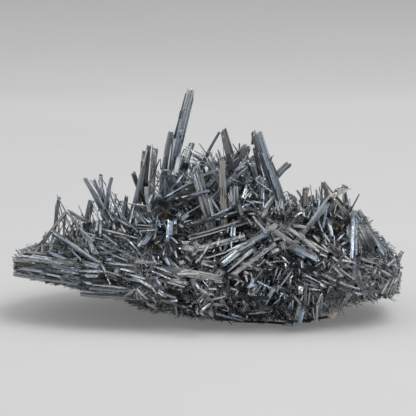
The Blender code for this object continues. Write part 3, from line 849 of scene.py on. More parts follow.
SLIVERS["left_felt"] = [
    (-28.4, -6.3, -21.8, -7.9, .6, .8), (-22.5, -7.8, -18.8, -8.7, .4, .65),
    (-25.6, -7.9, -22, -8.9, .45, .8), (-28.6, -8, -25.2, -10.6, .4, .9), (-29.8, -9.8, -26, -11.9, .5, .55),
    (-30.8, -9.5, -29.7, -11, .5, .06), (-33.1, -9.3, -31.9, -12.9, .9, .8),
    (-32.5, -10.2, -30.8, -12.8, .5, .6), (-34.1, -7, -31.2, -7.9, .4, .9),
    (-33.2, -8.8, -31.2, -7.4, .4, .95), (-26.2, -6.3, -26.5, -4, .7, .85),
    (-23.2, -6.8, -24.7, -4.2, .5, .95), (-24.8, -6.2, -23.2, -6.3, 1.1, .8),
    (-21.8, -9.6, -19.2, -12.3, .45, 1), (-27, -13, -22.3, -15, .45, .65), (-26.5, -11, -22.5, -13, .4, .5),
    (-29.3, -12.6, -25.5, -12, .35, .4), (-24.5, -10.3, -20.5, -10.9, .5, .15),
    (-28.2, -9.2, -24, -9.4, .5, .1), (-22.5, -11.8, -20.2, -13.4, .8, .12),
    (-19.5, -10.8, -17.6, -8.4, .6, .6), (-16.2, -7.3, -18.3, -10.6, 1.6, .28, .9),
    (-20, -4.8, -15.5, -5, .5, .65), (-19, -6.4, -14, -6.1, .5, .7), (-19.2, -6.6, -18.3, -8, .4, .75),
    (-20.3, -5.6, -15, -5.7, .4, .2), (-25, -3.4, -21.5, -5.4, .5, .6), (-22.4, -4, -19.5, -6.8, .5, .3),
    (-35.5, -6, -32.4, -9, .5, .5), (-36, -8.9, -33.6, -10.9, .7, .15), (-31.5, -8.3, -29, -9, .4, .6),
    (-27.8, -7.2, -27, -7.5, .5, 1), (-30, -11, -27.5, -12.3, .35, .75, .15),
    (-18.4, -14.4, -17, -16.6, .6, .45), (-20.2, -14.5, -18.3, -15.6, .5, .75),
    (-20.8, -14.9, -14.6, -15.5, 1.1, .22), (-15.5, -13.6, -14.5, -15.5, .5, 1),
    (-14.9, -15.3, -13.7, -15.8, .4, .95), (-21.9, -13.6, -19.8, -13.9, .5, .35),
    (-24.6, -13.4, -21.6, -13.8, .5, .3),
]
SLIVERS["left_rail"] = [
    (-17.1, 0, -22.6, 1.3, .5, .15), (-17, .5, -21.5, 1.3, .35, .85), (-18, -4.2, -20.4, -.8, .5, .8),
    (-16.4, -4, -18.6, -2.2, .4, .95), (-15.6, -4.2, -16.8, -2.5, .4, .9), (-19, -4.3, -21.2, -1, .6, .15),
    (-20.9, -2.8, -21.7, -1.3, .4, .8), (-17.4, -4.4, -19.4, -1.8, .35, .3),
]
SLIVERS["crown_left"] = [
    (-18.4, 13, -17.9, 16.1, .6, .2), (-18.2, 12, -17, 16.3, .5, 1, .15), (-17.5, 6.8, -16.4, 17.6, 1.6, .1),
    (-15.8, 16.9, -15.9, 17.8, 1.2, .5), (-20.8, 1.3, -18.4, 11.4, .9, .6), (-20, 1, -18, 9, .35, .9),
    (-15.1, 10.6, -16.3, 13.8, .5, .65), (-13.5, 8, -15.1, 11.5, .5, .85), (-14, 8.2, -15.5, 10.8, .4, .06),
    (-15.8, 8, -13.5, 13.8, .6, .15), (-15, 12, -15, 16.6, 1.7, .8), (-15, 8.2, -15.4, 10.2, .7, .85),
    (-12.7, 7, -14, 10.5, .6, .8), (-13.2, 10.8, -13.3, 13.8, .6, .7), (-12.5, 11, -12.1, 16, .6, .6),
    (-13.6, 4.2, -16.5, 7.1, .5, .85), (-13.7, 3.6, -13, 3.6, .7, 1), (-13, 2.8, -15, 4.4, .5, .6),
    (-14.3, 7.3, -14, 7.9, .8, .9, -.1), (-18.9, 1.5, -18.5, 1.6, .7, .8, -.1), (-15.5, 4.4, -17, 1, .7, .2),
    (-12, 4.8, -14.3, 6.6, .6, .25), (-19.3, 2.5, -18.9, 5.5, .7, .25), (-12.2, 5, -12, 8.2, .6, .3),
    (-14.8, 0, -13.9, .4, .4, .8), (-12.2, 1.8, -15.5, 2.2, .7, .35), (-16.2, -2, -17.7, 6.3, 1.1, .9),
    (-15.2, -1.8, -14.8, -.8, .6, .75, .15),
]
SLIVERS["crown_spire_strands"] = [
    (-11.6, 11.5, -10.1, 20, .6, .3), (-10.6, 12, -9.6, 21, .6, .6), (-9.3, 14, -8, 21.5, .8, .85, .95),
    (-9.7, 11.3, -8.7, 14.2, .5, .08), (-9.2, 9.3, -7.9, 15.6, 1.3, .95), (-8.5, 9.6, -7.2, 14.4, .5, .7),
    (-8.9, 21.5, -6, 32.8, .9, .3), (-7.4, 22, -4.4, 33.6, .6, .85), (-6.8, 20, -4.1, 31, .7, .45, .95),
    (-7.7, 20.4, -7.4, 22.6, .5, 1, .9), (-6.4, 27.6, -6.1, 28.6, .4, 1), (-9.9, 9, -9.6, 11, .5, .6),
    (-12.8, 9.9, -10.7, 9.2, 1.9, .15), (-12.7, 10.5, -11.2, 10.8, .5, .6),
    (-10.6, 8.6, -9.5, 7.2, 1.6, .55), (-12.4, 8.8, -11.6, 7.6, .4, .6),
]
SLIVERS["crown_middle"] = [
    (-8.8, 7, -6.6, 9.8, .6, .6), (-11.2, 4.6, -8.8, 7, .6, .5), (-6.8, 9.9, -6.7, 10.6, .5, 1),
    (-6.4, 12.8, -4.7, 18.6, 1.5, .4), (-2, 14.9, -6.5, 17, .7, .7), (1.6, 12.1, -5, 15.8, .9, .65),
    (-.5, 12.9, -4.8, 15.1, .5, .08), (-7.2, 15.2, -6.5, 16.8, .5, .15), (2.2, 12.3, -5, 13.6, .5, .35),
    (1.5, 11.8, -5.3, 12.6, .5, .7), (-.4, 15.2, -2.5, 18.1, .4, .2), (2.6, 12.7, 0, 15.2, .4, .4),
    (1.2, 14.2, 1, 16, .4, .7), (-7.5, 11.2, -6.7, 15, 1, .25), (-2.4, 4.7, -4.2, 10.9, .4, .9),
    (-2.1, 4.6, -3.8, 10.6, .3, .15), (-1.7, 4.7, -3.4, 10.5, .4, .85), (-1.2, 4.8, -2.6, 11, .4, .1),
    (-.8, 5.2, -2.2, 9, .7, .6, .95), (-.4, 5.3, -.9, 8.6, .35, .06), (-4, 7.9, -5, 10.6, .5, .85),
    (-2.8, 11.2, -2.1, 11.7, .6, 1), (-4.3, 8, -6.4, 10, 1.7, .75), (-4.6, 6.9, -6.9, 7.4, .7, .65),
    (-9.8, 4.2, -4.2, 7.5, .6, .85), (-8.5, 4.7, -4, 6.9, .45, .04), (-1.6, 8.9, 3.1, 11.2, .8, .95),
    (-1.2, 8.4, 2.8, 10.5, .35, .04), (0, 9.2, 2.9, 10.3, .3, .65), (-6.4, 5.1, -5.4, 5.3, .6, 1),
    (-11.8, 3.2, -6.5, 6.1, .6, .8), (-9, 2.7, -4.5, 3.6, .6, .85), (-4.5, 3.7, .5, 4.9, .7, .5),
    (-8, 4.2, -3, 4.6, .7, .15), (.4, 11.9, .2, 13, .7, .75), (-2.4, 9.7, -1, 9.9, .7, .2),
]
SLIVERS["crown_fan_foot"] = [
    (-.5, -2.6, -2.4, 3.6, .4, 1), (-.2, -2, -1.9, 3.6, .3, .12), (.2, -1.8, -1.5, 3.9, .4, .8),
    (.7, -1.7, -.8, 4, .4, .45), (1.2, -1.8, -.2, 4.1, .5, .95), (3, -.6, .3, 3.9, .4, .75),
    (2.4, 0, .5, 2.8, .4, .4), (1.6, -1.4, .4, 3.2, .35, .5), (2.5, -1, 1.4, 2, .5, .06),
    (-1.2, -2.4, -2.6, 1.8, .4, .1), (3.6, -.2, 3.9, 6, .5, .75), (4.8, 4.2, 4.7, 12.6, .5, .85),
    (3.5, 5, 3.5, 12.8, .5, 1, .2), (4.1, 4.6, 4.2, 12.6, .3, .45, .15),
]
SLIVERS["crown_right"] = [
    (8.5, 15.4, 6.8, 18.2, .5, .2), (4.6, 13.2, 5.9, 15.9, .6, .8), (5.9, 12.8, 7.2, 15.7, 1.3, .25),
    (5.8, 12.1, 8.6, 14.2, .4, .9), (8.8, 15.4, 10.9, 18.1, .6, .4), (7, 10.8, 11.6, 17.6, 1.4, .45),
    (9, 13.3, 11.5, 16.7, .6, .1), (9.5, 12.8, 11.4, 15.5, .8, .85), (9.4, 12.4, 11.3, 13.1, .6, 1),
    (8.4, 8.6, 7.1, 10.1, .4, .85), (7.4, 10.3, 10.6, 12.3, 1.2, .65), (8.2, 9, 11.2, 11.6, .4, .95),
    (8, 9.7, 11, 12.2, .4, .08), (12.2, 9.6, 11, 12.5, .6, .04), (12.9, 9.5, 11.6, 12.4, .4, .85),
    (13.6, 11.4, 12.2, 13.3, .6, .75), (12, 11.9, 12.7, 11.6, .7, .85), (14.4, 10.4, 12.6, 17.8, 1.6, .12),
    (15.3, 12, 13.8, 15.5, .4, 1), (12.4, 17.8, 12.7, 21.6, .9, .35), (13.4, 8.1, 15, 9.3, .7, .85),
    (13.3, 7.8, 18, 4.5, .35, 1), (9, 7, 6, 8.6, .45, .9), (8.4, 6.6, 5.8, 7.7, .4, .55),
    (17.6, 13.6, 18.5, 15, .7, .4), (19.6, 9, 17.9, 13, .4, .35), (10.6, 6.4, 10.9, 7.2, .8, 1),
    (16.5, 8.8, 15, 14, .7, .2), (17.6, 7.8, 16, 12.5, .5, .3), (9.5, 8.6, 12.2, 8.2, .8, .25),
    (6, 9.6, 5.6, 12, .7, .2), (16.6, 4.8, 15.6, 8.6, .8, .3), (18.5, 2, 17.6, 7, .6, .15),
    (19.2, 4, 18.4, 8, .4, .7), (5.75, 14.4, 3.65, 22, 1.5, .3),
]
SLIVERS["crown_low"] = [
    (6.6, .8, 6.4, 6.3, .9, .65), (7.4, .6, 7.5, 6.4, .6, .45), (8.2, 1.8, 8.1, 6.2, .6, .7),
    (7.8, 5.4, 7.9, 6, .6, 1), (9.5, 2.5, 10.9, 6.6, .6, 1), (12.6, 4.8, 11.2, 6.4, .4, .6),
    (10.2, 2.6, 12.2, 4.8, .4, .85), (11.4, 2.7, 12.4, 4.6, .4, .8), (14, 3, 12.6, 4.8, .4, .7),
    (12.8, 1.3, 10, 2.4, .5, .75), (15.4, 1.4, 12, 1.9, .7, .6), (13.7, 2.8, 14, 3.1, .5, 1),
    (14.5, 2, 14.9, 2.2, .6, 1), (15.5, 0, 15.4, 2.2, .4, .85), (13, 6.3, 12.6, 6.9, .9, .6, 1),
    (15.3, 2, 15.2, 6.5, 1.2, .3, .95), (15.5, -.3, 18.2, 3.3, .6, 1), (20, -1.5, 18.6, 3.2, .5, .5),
    (19.2, -1.6, 17.6, 1.6, .5, .1), (16.6, -1.4, 15, -.3, .8, .15), (22.2, 4.7, 20.9, 4.2, .4, .35),
    (22.5, 1.3, 22, 4, .3, .35), (21.1, 2.2, 22, 4, .3, .3), (22.3, 1.2, 23.7, 1.1, .4, .5),
    (23.9, -.1, 22.6, -1, .3, .25), (24.4, -1.6, 22.8, -.6, .3, .2), (9, -.2, 11.3, 1.3, .5, .65),
    (12.9, -1.6, 10.8, -1.6, .6, .85), (16, -6.6, 12.3, -2, .7, .9), (12.2, -4.7, 10.8, -2.5, .5, .35),
    (14.3, -1.5, 14.8, -1.7, .5, 1), (13.8, -.2, 14.2, 0, .6, .6), (9.6, -2.6, 8.6, 1.8, .8, .2),
    (13, -.6, 9.4, .6, .8, .1), (6.2, -.1, -2, -3.8, .5, .9), (5.6, -1.1, -1.5, -4.3, .5, .04),
    (4.5, -2.7, 5.4, -2, .4, 1), (2.2, -3.2, 3.6, -3.1, .6, .9), (0, -4.2, .4, -4.2, .5, 1, 1),
    (5.7, -5.6, 5.4, -7, .5, 1), (7.4, -5.2, 7.3, -8, .6, .6, 1), (6.7, -5, 6.5, -8, .4, .8),
]
SLIVERS["cavity_edge"] = [
    (-13.5, 1.6, -9.5, .3, 1.6, .02), (-7.6, 2.4, -4.2, 1, 1.6, .02), (-3.6, 0, -1.4, -2, 1.2, .02),
    (-12.4, -1.1, -10.6, -1.3, .8, .4, -.1), (-8.8, -2, -7, -.4, .5, .85), (-8.2, -2.5, -7.1, -.9, .6, 1),
    (-7.6, -2.6, -2.2, .7, .35, .7, .95), (-7.4, -3.4, -5, -1.6, 1.3, .7), (-1.1, -3.2, -1.7, -2.1, .4, 1),
    (-4.6, -4.2, 0, -2.9, .5, .85), (-11.4, -9, -10.8, -2.9, .9, .95, .9),
    (-10.5, -8, -10.1, -3.6, .7, .4, .9), (-9.9, -7.8, -9.5, -6.9, .4, .5, -.1),
    (-2.2, -3, -2, -2.9, .4, .6, -.1), (-9.2, -4.6, -9, -2.9, .7, .75), (-9, -7.6, -8.8, -4.4, .9, .06),
    (-7, -5.4, -8.3, -4.2, .6, .5), (-6.9, -3.9, -4.4, -3.4, .5, .6), (-15.5, -9.6, -13.2, -8.4, 1.4, .04),
    (-10, 0, -8.4, -.6, .5, .3), (-4.1, 1.1, -3.8, 1.3, .5, .7), (-12.6, -3.6, -10.9, -3.3, .6, .3),
    (-13.8, -3.8, -13.2, -5.2, .5, .7), (-14.2, -4.8, -12.2, -4.4, .5, .5),
]
SLIVERS["front_druse"] = [
    (-11, -8.4, -10, -8.3, .5, 1), (-10, -8.4, -8.3, -10.1, .5, .9),
    (-11.9, -14.1, -10.7, -16.3, 1.2, .6, .95), (-11, -13.8, -9.5, -16.5, .6, .03),
    (-9.5, -15.6, -7.8, -17.2, .5, .6), (-14, -16.8, -10, -18.3, .5, .85, .95),
    (-9.5, -19, -7.9, -19.9, .5, .95, 1), (-15, -17.9, -10.5, -20, .5, .65),
    (-15.6, -17.6, -14.9, -18.2, .7, 1), (-14.4, -20, -12.8, -22.5, .9, .9, .95),
    (-8, -11.2, -7.7, -11.8, .6, .85), (-7.4, -12.2, -6.7, -12.8, .4, .85),
    (-7.9, -15.5, -6.4, -14.8, 1.1, .8), (-7.5, -9.7, -4.8, -9.4, .9, .7), (-6.7, -11, -3.8, -11.6, 1.6, .5),
    (-3.9, -9.9, -2.4, -11, 1.2, .55), (-4.6, -13, -2.3, -12.4, 1.4, .15),
    (-5.8, -11.4, -4.8, -12.2, .6, .75), (-1.9, -10.8, -1.5, -11.2, .5, 1), (-4.5, -10, -4.3, -10.4, .5, 1),
    (3.1, -8.8, 2.6, -10.3, .5, 1, .15), (4.6, -9.6, 4.5, -10.6, .4, 1),
    (1.8, -11.7, 1.3, -12.4, .5, 1, .15), (-2.8, -14.5, -3.5, -15.4, .5, 1, .1),
    (.3, -9.8, -1.3, -13, .8, .8), (-1.5, -13.1, -2.7, -14.9, .7, .85, .9), (5.6, -12.2, -.8, -14.2, .5, .7),
    (1.7, -14.6, 2.1, -15, .6, .9, .9), (-1.7, -15.5, .4, -16.2, .8, 1), (.3, -16.2, 1.8, -16.5, .6, 1),
    (2, -10.6, .7, -12.2, .7, .03), (-2, -14.8, 3, -15.1, .6, .04), (5, -11, 3.6, -13.2, .7, .3),
    (3.4, -10.6, 3.6, -12, .5, .55, .95), (-12.4, -12, -12.6, -13.6, .5, .75),
    (-13.4, -10.4, -12.2, -11.6, .8, .35), (-10.5, -11, -9.6, -12.6, .9, .3),
    (-9.2, -12.2, -8.8, -14, .6, .7), (-15, -13.2, -12.4, -13.6, .6, .05), (-14.8, -10, -13.2, -9, .5, .5),
    (-6.2, -13.6, -4.9, -14.9, .8, .55), (-12.9, -15.4, -13.9, -14.3, .6, .3),
    (-15.2, -16.4, -11, -17.4, .6, .4), (-13, -18.2, -9, -19.3, .5, .2), (-8, -17.9, -5, -17.4, .7, .75),
    (-8.6, -18.5, -2, -18.4, .7, .8), (4.2, -18, 3, -19.3, 1.4, .55), (-6, -18.8, -3, -19.4, .9, .9),
    (.8, -2.8, -6.2, -4.6, .8, .2), (10.5, -9.9, 3.7, -15.2, .9, .4, .45),
    (9.6, -10.3, 3.3, -14.6, .5, .6, .4),
]
SLIVERS["front_low"] = [
    (-11.2, -20.8, -6.4, -22.2, .5, .95), (-10.4, -20.3, -6, -21.2, .9, .7),
    (-6.8, -20.8, -5.3, -21.7, 1.3, .5), (-7.5, -22.4, -7.4, -23.7, .35, .75),
    (-3.4, -21.2, -1.8, -23.5, 1.1, .8), (-2.4, -22.6, 1, -24.5, 1.1, .75), (0, -24, 2, -24.3, .6, .95),
    (1, -25.7, 5.4, -24.6, .5, .95), (-1.4, -20.5, 0, -22, .4, .85), (.7, -20.8, 0, -22.2, .4, .85),
    (-2.3, -26.3, -1.9, -26.1, .5, 1), (-2, -26.1, -1, -25.3, .4, .7), (-1.5, -28.5, .8, -26.6, .5, .95),
    (-3.2, -28, -2.7, -28.4, .9, .95), (-3.3, -28.5, -2.7, -30.2, .6, .75),
    (-2.1, -29.2, -1.2, -30.1, .7, .9), (-1.2, -28.6, -.5, -29, .9, .6, -.1),
    (-7, -27.5, -6.2, -27.7, .9, .8), (-4.8, -27.4, -4.5, -27.7, .6, .9), (-6, -28.6, -5, -28.4, .7, .6),
    (-14.1, -23.3, -11.6, -25.2, 1.3, .7), (-12, -21.2, -11.4, -22.6, .4, .95),
    (-10.4, -26, -8.4, -26, .6, .8), (-15.4, -25.2, -14.2, -27.5, .5, .4), (-10, -23.4, -4, -24.2, 2, .01),
    (-7.6, -24.6, -3.4, -26, 1.8, .01), (-4.2, -20.6, -3, -24.8, 1.4, .01), (-7, -25.2, -5, -25.8, .4, .35),
    (3.3, -21.8, 3.6, -22.1, .6, .85), (3.4, -25.8, 3.8, -26, .6, .9), (.5, -29, 1.5, -30.6, .9, .65),
    (2.4, -29.6, 6, -30.6, .8, .65), (2.1, -27.8, 2.5, -28.3, .6, .85), (4.2, -28.5, 5.8, -29, .4, .9),
    (5.5, -27.7, 5.8, -28.9, .35, .95), (.6, -21.6, 2.8, -21.9, .8, .02), (2, -27, 5.2, -27.3, 1.2, .03),
    (.2, -22.6, 2.6, -22.8, .5, .7), (2, -20.6, 5, -20.9, .6, .45), (4.6, -20.8, 4.9, -19, .6, .06),
    (-13.5, -25.6, -7.6, -27.4, 1, .12), (-12.6, -22.2, -12, -24, .5, .1), (-15, -21.4, -14, -22.8, .8, .15),
    (-12.6, -23.9, -8.8, -25.3, .8, .4),
]
SLIVERS["star_left"] = [
    (15.6, -7.5, 10.2, -10.2, 1.3, .7), (10.6, -9.8, 5, -12.2, .5, .9), (10.4, -10.3, 4, -15.6, .7, 1),
    (8.6, -12.8, 4.4, -16.2, .5, .85), (12.5, -11.8, 9, -14.4, 1.3, .85), (10.4, -13.6, 5.3, -18, .7, .9),
    (8.4, -14.5, 4.8, -17.3, .45, .05), (8.8, -12, 5, -14.4, .4, .15), (12.8, -9.6, 6, -13.6, .5, .6),
    (15.2, -7.3, 15.8, -7.4, .8, 1), (15.6, -12.9, 15.2, -13.2, .7, 1), (15, -13.8, 15.3, -14, .5, .9),
    (15.3, -11.8, 18.5, -11, .8, .85), (17.9, -12.3, 20, -11.4, .9, .9), (18.5, -9, 20.5, -8.2, .8, .55),
    (21, -8.1, 21.6, -9.2, .35, .95), (17.3, -9.1, 17.6, -9.4, .6, .95), (7.3, -9.3, 7.6, -9.5, .6, 1),
    (6.6, -9.2, 6.5, -11.2, .5, .95), (8.9, -9, 9, -6.5, .5, .35), (20.7, -13.7, 22.9, -15.6, .6, 1),
    (13.3, -20, 15.5, -17, .4, .5), (14.2, -16.3, 16.1, -14.3, .4, .6), (13.9, -16, 14.3, -16.4, .6, .85),
    (16.9, -17.4, 17.9, -17.1, .4, .85), (19.4, -17, 18.8, -19.2, .4, .75),
    (20.5, -17.4, 19.3, -20.2, .45, .95), (23, -18.2, 19, -23.6, .5, .9), (23.8, -19, 22.7, -20.4, .4, .85),
    (23.7, -18, 23.8, -19, .4, .8), (23.2, -20, 22.9, -22, .5, .65), (25.6, -17.2, 25.6, -18.9, .5, 1),
    (25.4, -20, 25.8, -20.6, .7, 1), (21.6, -15.5, 22, -17.5, .6, .6), (15, -18.2, 18.4, -20, 2, .01),
    (13.2, -17, 15.8, -17.6, 1.2, .02), (21, -10.2, 21.8, -12.8, 1.4, .06),
    (12.8, -8.4, 10.2, -6.6, 1.4, .05), (18.6, -13.6, 20.4, -14.4, .8, .2), (16.4, -15, 18, -16.2, 1, .5),
    (24.6, -17.6, 24.4, -20.6, .5, .06), (22.2, -17.2, 20.6, -20, .4, .08), (5, -18.6, 9, -19.3, 1.2, .02),
    (9.6, -15.6, 12.6, -16.4, .9, .12), (12.8, -12.6, 15, -12, .9, .1), (11.6, -14.8, 14.4, -14.4, .8, .4),
]
SLIVERS["star_low"] = [
    (10.2, -18.1, 11.6, -18.4, .7, .9), (12, -18.4, 12.6, -20, .6, .75), (12.5, -20, 12.2, -21.8, .7, .75),
    (12.9, -21.6, 10.9, -22.3, .8, .85), (10.6, -19.2, 11, -20.8, .7, .6), (7.3, -19.8, 8.8, -20.4, .4, .8),
    (8.8, -20.5, 7.4, -21.9, .5, 1), (9.2, -20.3, 10, -21, .5, .9), (10, -21, 9.4, -21.9, .5, .8),
    (12.1, -23.5, 12.7, -23.8, .8, .95), (11.2, -24, 13.7, -24.5, .6, .7), (14.8, -21.9, 13.3, -24, .4, .5),
    (14, -20.6, 18.5, -22.8, .6, .45), (18.5, -22.6, 15.5, -26.5, 1.3, .7),
    (18.3, -22.9, 15.3, -26.2, .4, 1), (18, -24, 16, -27.2, .4, .9), (20, -25.6, 18.3, -27, .4, .85, .9),
    (21.4, -24.4, 21.4, -25.6, .4, 1), (20.2, -23.8, 21.2, -24.1, .5, .95),
    (22, -24.3, 22.6, -24.9, .35, .85), (23.8, -25.9, 23.5, -28.9, .5, .75), (24, -24.6, 24.4, -24.9, .6, 1),
    (24.4, -24.9, 26, -27, .5, .85), (25.7, -27.2, 24.3, -31.2, .7, .6), (11.8, -29.6, 17, -29.1, .5, .95),
    (16.4, -31.7, 16.8, -32, .7, 1), (6.8, -29.9, 9.7, -30.6, .5, .95), (5, -30.4, 10.6, -31.8, .6, .55),
    (11, -30.2, 10.8, -31.5, .6, .55), (10, -25.8, 10.1, -27.2, .6, .75), (7.8, -26.4, 10, -26.3, .3, .4),
    (7.4, -27.3, 7.8, -27.6, .6, .7), (12.7, -27, 13.3, -27.4, .7, .6), (6.4, -22.5, 8.2, -23, .7, .6),
    (8.4, -23.2, 7.6, -24.8, .7, .75), (4.4, -23.6, 5.6, -25.2, 1, .5), (21.6, -29.6, 23.2, -30.2, .5, .5),
    (21.8, -31.4, 24, -32.6, .8, .6, .95), (16.4, -31.2, 15.6, -32.4, .5, .3),
    (17, -31, 17.6, -31.6, .4, .4), (13, -25.4, 19, -25, 1.6, .02), (13.5, -27.9, 20, -28, 1.6, .02),
    (8.8, -24, 12, -27, 1.4, .05), (20.8, -26.2, 22.6, -29, 1.6, .04), (14.5, -23.4, 16.6, -23.8, 1, .04),
    (19.2, -21.6, 21.8, -22.8, 1, .12), (24.6, -27.6, 24.2, -29.4, .8, .03),
    (12, -30.6, 15.6, -31.4, 1.2, .04),
]
SLIVERS["star_right"] = [
    (23.2, -6.2, 26.9, -8.9, 1, .9), (26, -8, 30.5, -11.6, .9, .6), (22.3, -6.8, 24.3, -8.5, .6, .08),
    (24.6, -9.2, 26, -9.9, .5, .9), (24, -9.7, 28.3, -12, .5, .01), (28.2, -11.9, 31.2, -14, .4, .01),
    (24.2, -11.4, 31, -14.6, 1.7, .7), (28, -13.3, 29, -13.9, .7, 1), (27.1, -12.6, 27.8, -13.1, .6, 1),
    (28.5, -11.4, 29.3, -12.3, .6, 1), (30.1, -13, 31, -14.2, .5, 1), (28, -10.3, 31.3, -12.3, .7, .8),
    (31.4, -12.9, 33.4, -13.6, .5, 1), (29.3, -9.6, 33.8, -12.5, .6, .8), (29.6, -7.8, 31.2, -9.5, .6, .85),
    (30.3, -7.6, 31.8, -9.2, .8, .02), (32.2, -10.4, 34, -12.2, .7, .9), (33.7, -12.1, 34.2, -12.6, .8, 1),
    (32.8, -9, 33.3, -10.5, .5, 1), (33.6, -9.6, 33.9, -10.6, .4, .05), (31.1, -4, 32.2, -6.8, .5, .95),
    (32.2, -6.8, 34.2, -9.6, .45, .85), (34, -4, 34.9, -8, .8, .6), (37.8, -11.5, 38.3, -13.4, .6, .75),
    (38.2, -13.4, 40.2, -15, .6, .9), (38.3, -11.6, 38.7, -11.8, .6, .85, .9),
    (39.5, -12.8, 39.8, -13, .5, 1), (40.2, -11.8, 40.4, -12.4, .5, 1, 1), (37.8, -14.7, 41.5, -15.3, .7, 1),
    (35, -13.8, 36.5, -15, .7, .85), (36.4, -16, 37, -16.4, .9, 1), (33.9, -15.6, 33.6, -16.8, .8, 1),
    (32.3, -15, 32.8, -16.8, .6, .75), (33.9, -17.8, 34.6, -18.2, 1, .75),
    (37.2, -17.2, 41.2, -20.2, .5, .9), (29.3, -17.8, 31.2, -18.8, .5, .65),
    (27.3, -18.8, 31.2, -20.8, .45, .95), (31, -20.7, 31.4, -20.9, .5, 1),
    (26.4, -16.2, 31.4, -17.4, 1.5, .02), (25, -14, 27, -15.2, 1.3, .03), (26.3, -15, 26.5, -17, .6, .5),
    (24.7, -5, 28, -5.5, .8, 1), (29, -5.4, 30, -5.4, .6, 1), (27, -6.1, 27.6, -6.6, .7, .95),
    (30.4, -3.1, 31, -3.6, .7, 1, .1), (36, -17.4, 38.4, -18.8, .6, .15), (38, -8.9, 36.6, -8, .6, .06),
    (35, -16.4, 38, -19.4, .5, .5), (32, -18.6, 36, -20.6, .9, .35), (36.3, -19, 37.6, -19.4, .9, .65, .95),
    (27, -19.8, 32, -22, .7, .15), (38.4, -15.8, 41, -17, .8, .3),
]
SLIVERS["keel"] = [
    (26, -22.4, 25.9, -24.8, 1.2, 1), (27.4, -21, 27.2, -27, 1.2, .3), (28.5, -23.5, 28, -27.5, .5, .55),
    (28.3, -22.6, 31.8, -23, .5, .65), (31.9, -24, 30.4, -27.5, .6, .85), (30.7, -27, 30.4, -32, .7, .5),
    (29.4, -28, 29.9, -31.5, .35, .9), (26.6, -28.3, 25.5, -32.6, 1.3, .8),
    (27.4, -28.5, 28.1, -28.9, .9, 1, .15), (28.1, -29.3, 29, -30.2, .5, .95, 1),
    (31.5, -21.2, 33.3, -22.3, 1.1, .85), (34, -21.9, 35.2, -22.3, .5, 1, .15),
    (35.4, -21.3, 35.6, -22, 1.1, .85), (28.6, -23.6, 30.6, -26.6, 1.4, .04),
    (24.9, -21.2, 25, -24, .9, .15), (41, -23.7, 43.2, -24.3, .5, 1), (37, -20.6, 40.5, -22.6, .8, .4),
    (39, -21.6, 42.6, -22.8, .6, .7), (36.6, -22.2, 39.4, -24, .6, .25), (28, -21.4, 31, -22.2, .6, .3),
    (32, -24.6, 31.6, -28.4, .6, .3), (39.4, -24.7, 37, -28, 1.2, .5), (31.8, -20.2, 34.2, -21.2, .6, .5),
    (29.4, -24.4, 29.6, -27, .4, .5),
]
# Painted shade: most of these are black slivers along the bottom edge that stand for the contact shadow
# under the mass
SLIVERS["foot"] = [
    (-1, -30.2, 5.5, -31, 1, .02), (4.6, -31.2, 12, -31.7, 1, .01), (9.5, -31.7, 17.5, -32, .9, .02),
    (15.5, -31.9, 23.5, -32.5, .9, .01), (23, -31.7, 29, -31.9, 1, .02), (27.5, -31.4, 34, -30.4, .9, .02),
    (14.4, -32.3, 16, -32.5, .5, .7), (21.5, -32.6, 24, -33, .6, .5),
]
SLIVERS["mound"] = [
    (34.6, 2.6, 36.4, 5, 1.3, .95, .2), (36.2, 4.8, 38, 6.3, 1.3, 1, .2),
    (37.6, 6.3, 39.4, 5.6, 1.1, .5, .3), (35.3, 3.2, 36.9, 5, .35, 1, .1),
    (27.3, .6, 27.6, 6.2, 1.5, .6, .15), (26.6, 0, 26.7, 5.5, .6, .3), (25.6, -.8, 25.2, 1.9, .7, .35),
    (30.3, 2.4, 30.4, 5.4, .6, .35), (29.8, 1, 29.3, 3.7, .9, .25), (31, -.5, 31.3, 6.4, .6, .6),
    (31.8, .5, 31.9, 7.6, .9, .45), (34.8, 4.3, 32.5, 7.5, .6, .5), (33.5, 2, 32.7, 5.4, 1.1, .1),
    (28.2, -4.6, 34.4, 4, 1.1, 1), (32.1, 1.2, 32.9, 1.8, 1.3, 1), (27.9, -2.8, 29, -.2, .5, .95, .15),
    (28.2, -3.6, 29.4, -.8, .7, .03), (24.3, -2.4, 27.3, -.3, .7, .6), (30.9, -3.7, 31.8, -5.9, .5, .9),
    (32.3, -5.5, 33.5, .5, .9, .65, .9), (38.3, -1, 35.2, 2.7, 1, .7, .15), (37.6, 1.2, 35.5, 3.7, .8, .08),
    (37.1, .8, 37.3, 1.1, .6, .9, .15), (38.9, .4, 39.3, 2.7, 1, .6), (37.8, 2.2, 38, 2.8, .5, .5, -.1),
    (36.2, -4.7, 37.2, -4.8, .8, .8, -.1), (38.4, -1.8, 38.5, -.5, .7, 1, .95),
    (43.2, -2.4, 41.9, .2, 1.4, .6), (41.3, -2.6, 41.2, -.4, .8, .7), (42.5, -2.7, 42, -1.6, .5, .1),
    (43.8, -4, 45.3, -2.7, .4, .5), (44.6, -4.6, 46.3, -3.2, .5, .35), (44.5, -4.5, 45.5, -5.2, .4, .4),
    (35, -2.4, 34.4, -5.6, .8, .05), (36.8, -.8, 35.2, -3, .7, .2), (38, -3.2, 35.4, -1.4, .6, .5),
    (37, -5.8, 38.6, -3.8, .8, .06), (39, -8, 39, -5, .5, .85), (36.4, -8.9, 38.1, -7.2, .5, .85),
    (37.3, -10.4, 39, -9.3, .5, .8), (35.5, -11, 35.3, -7.5, .5, .55), (36.6, -11.8, 37.2, -9.6, .9, .05),
    (39.6, -8.8, 39.4, -4.2, .4, .2), (40.4, -3.8, 40.6, -3.3, .7, 1), (43, -3, 43.3, -3.3, .6, 1),
    (26.8, -3.6, 25.2, -3, 1.4, .15), (29.6, -.6, 30.4, -3.6, .7, .2), (33.9, -6.4, 33.2, -3, .6, .3),
]
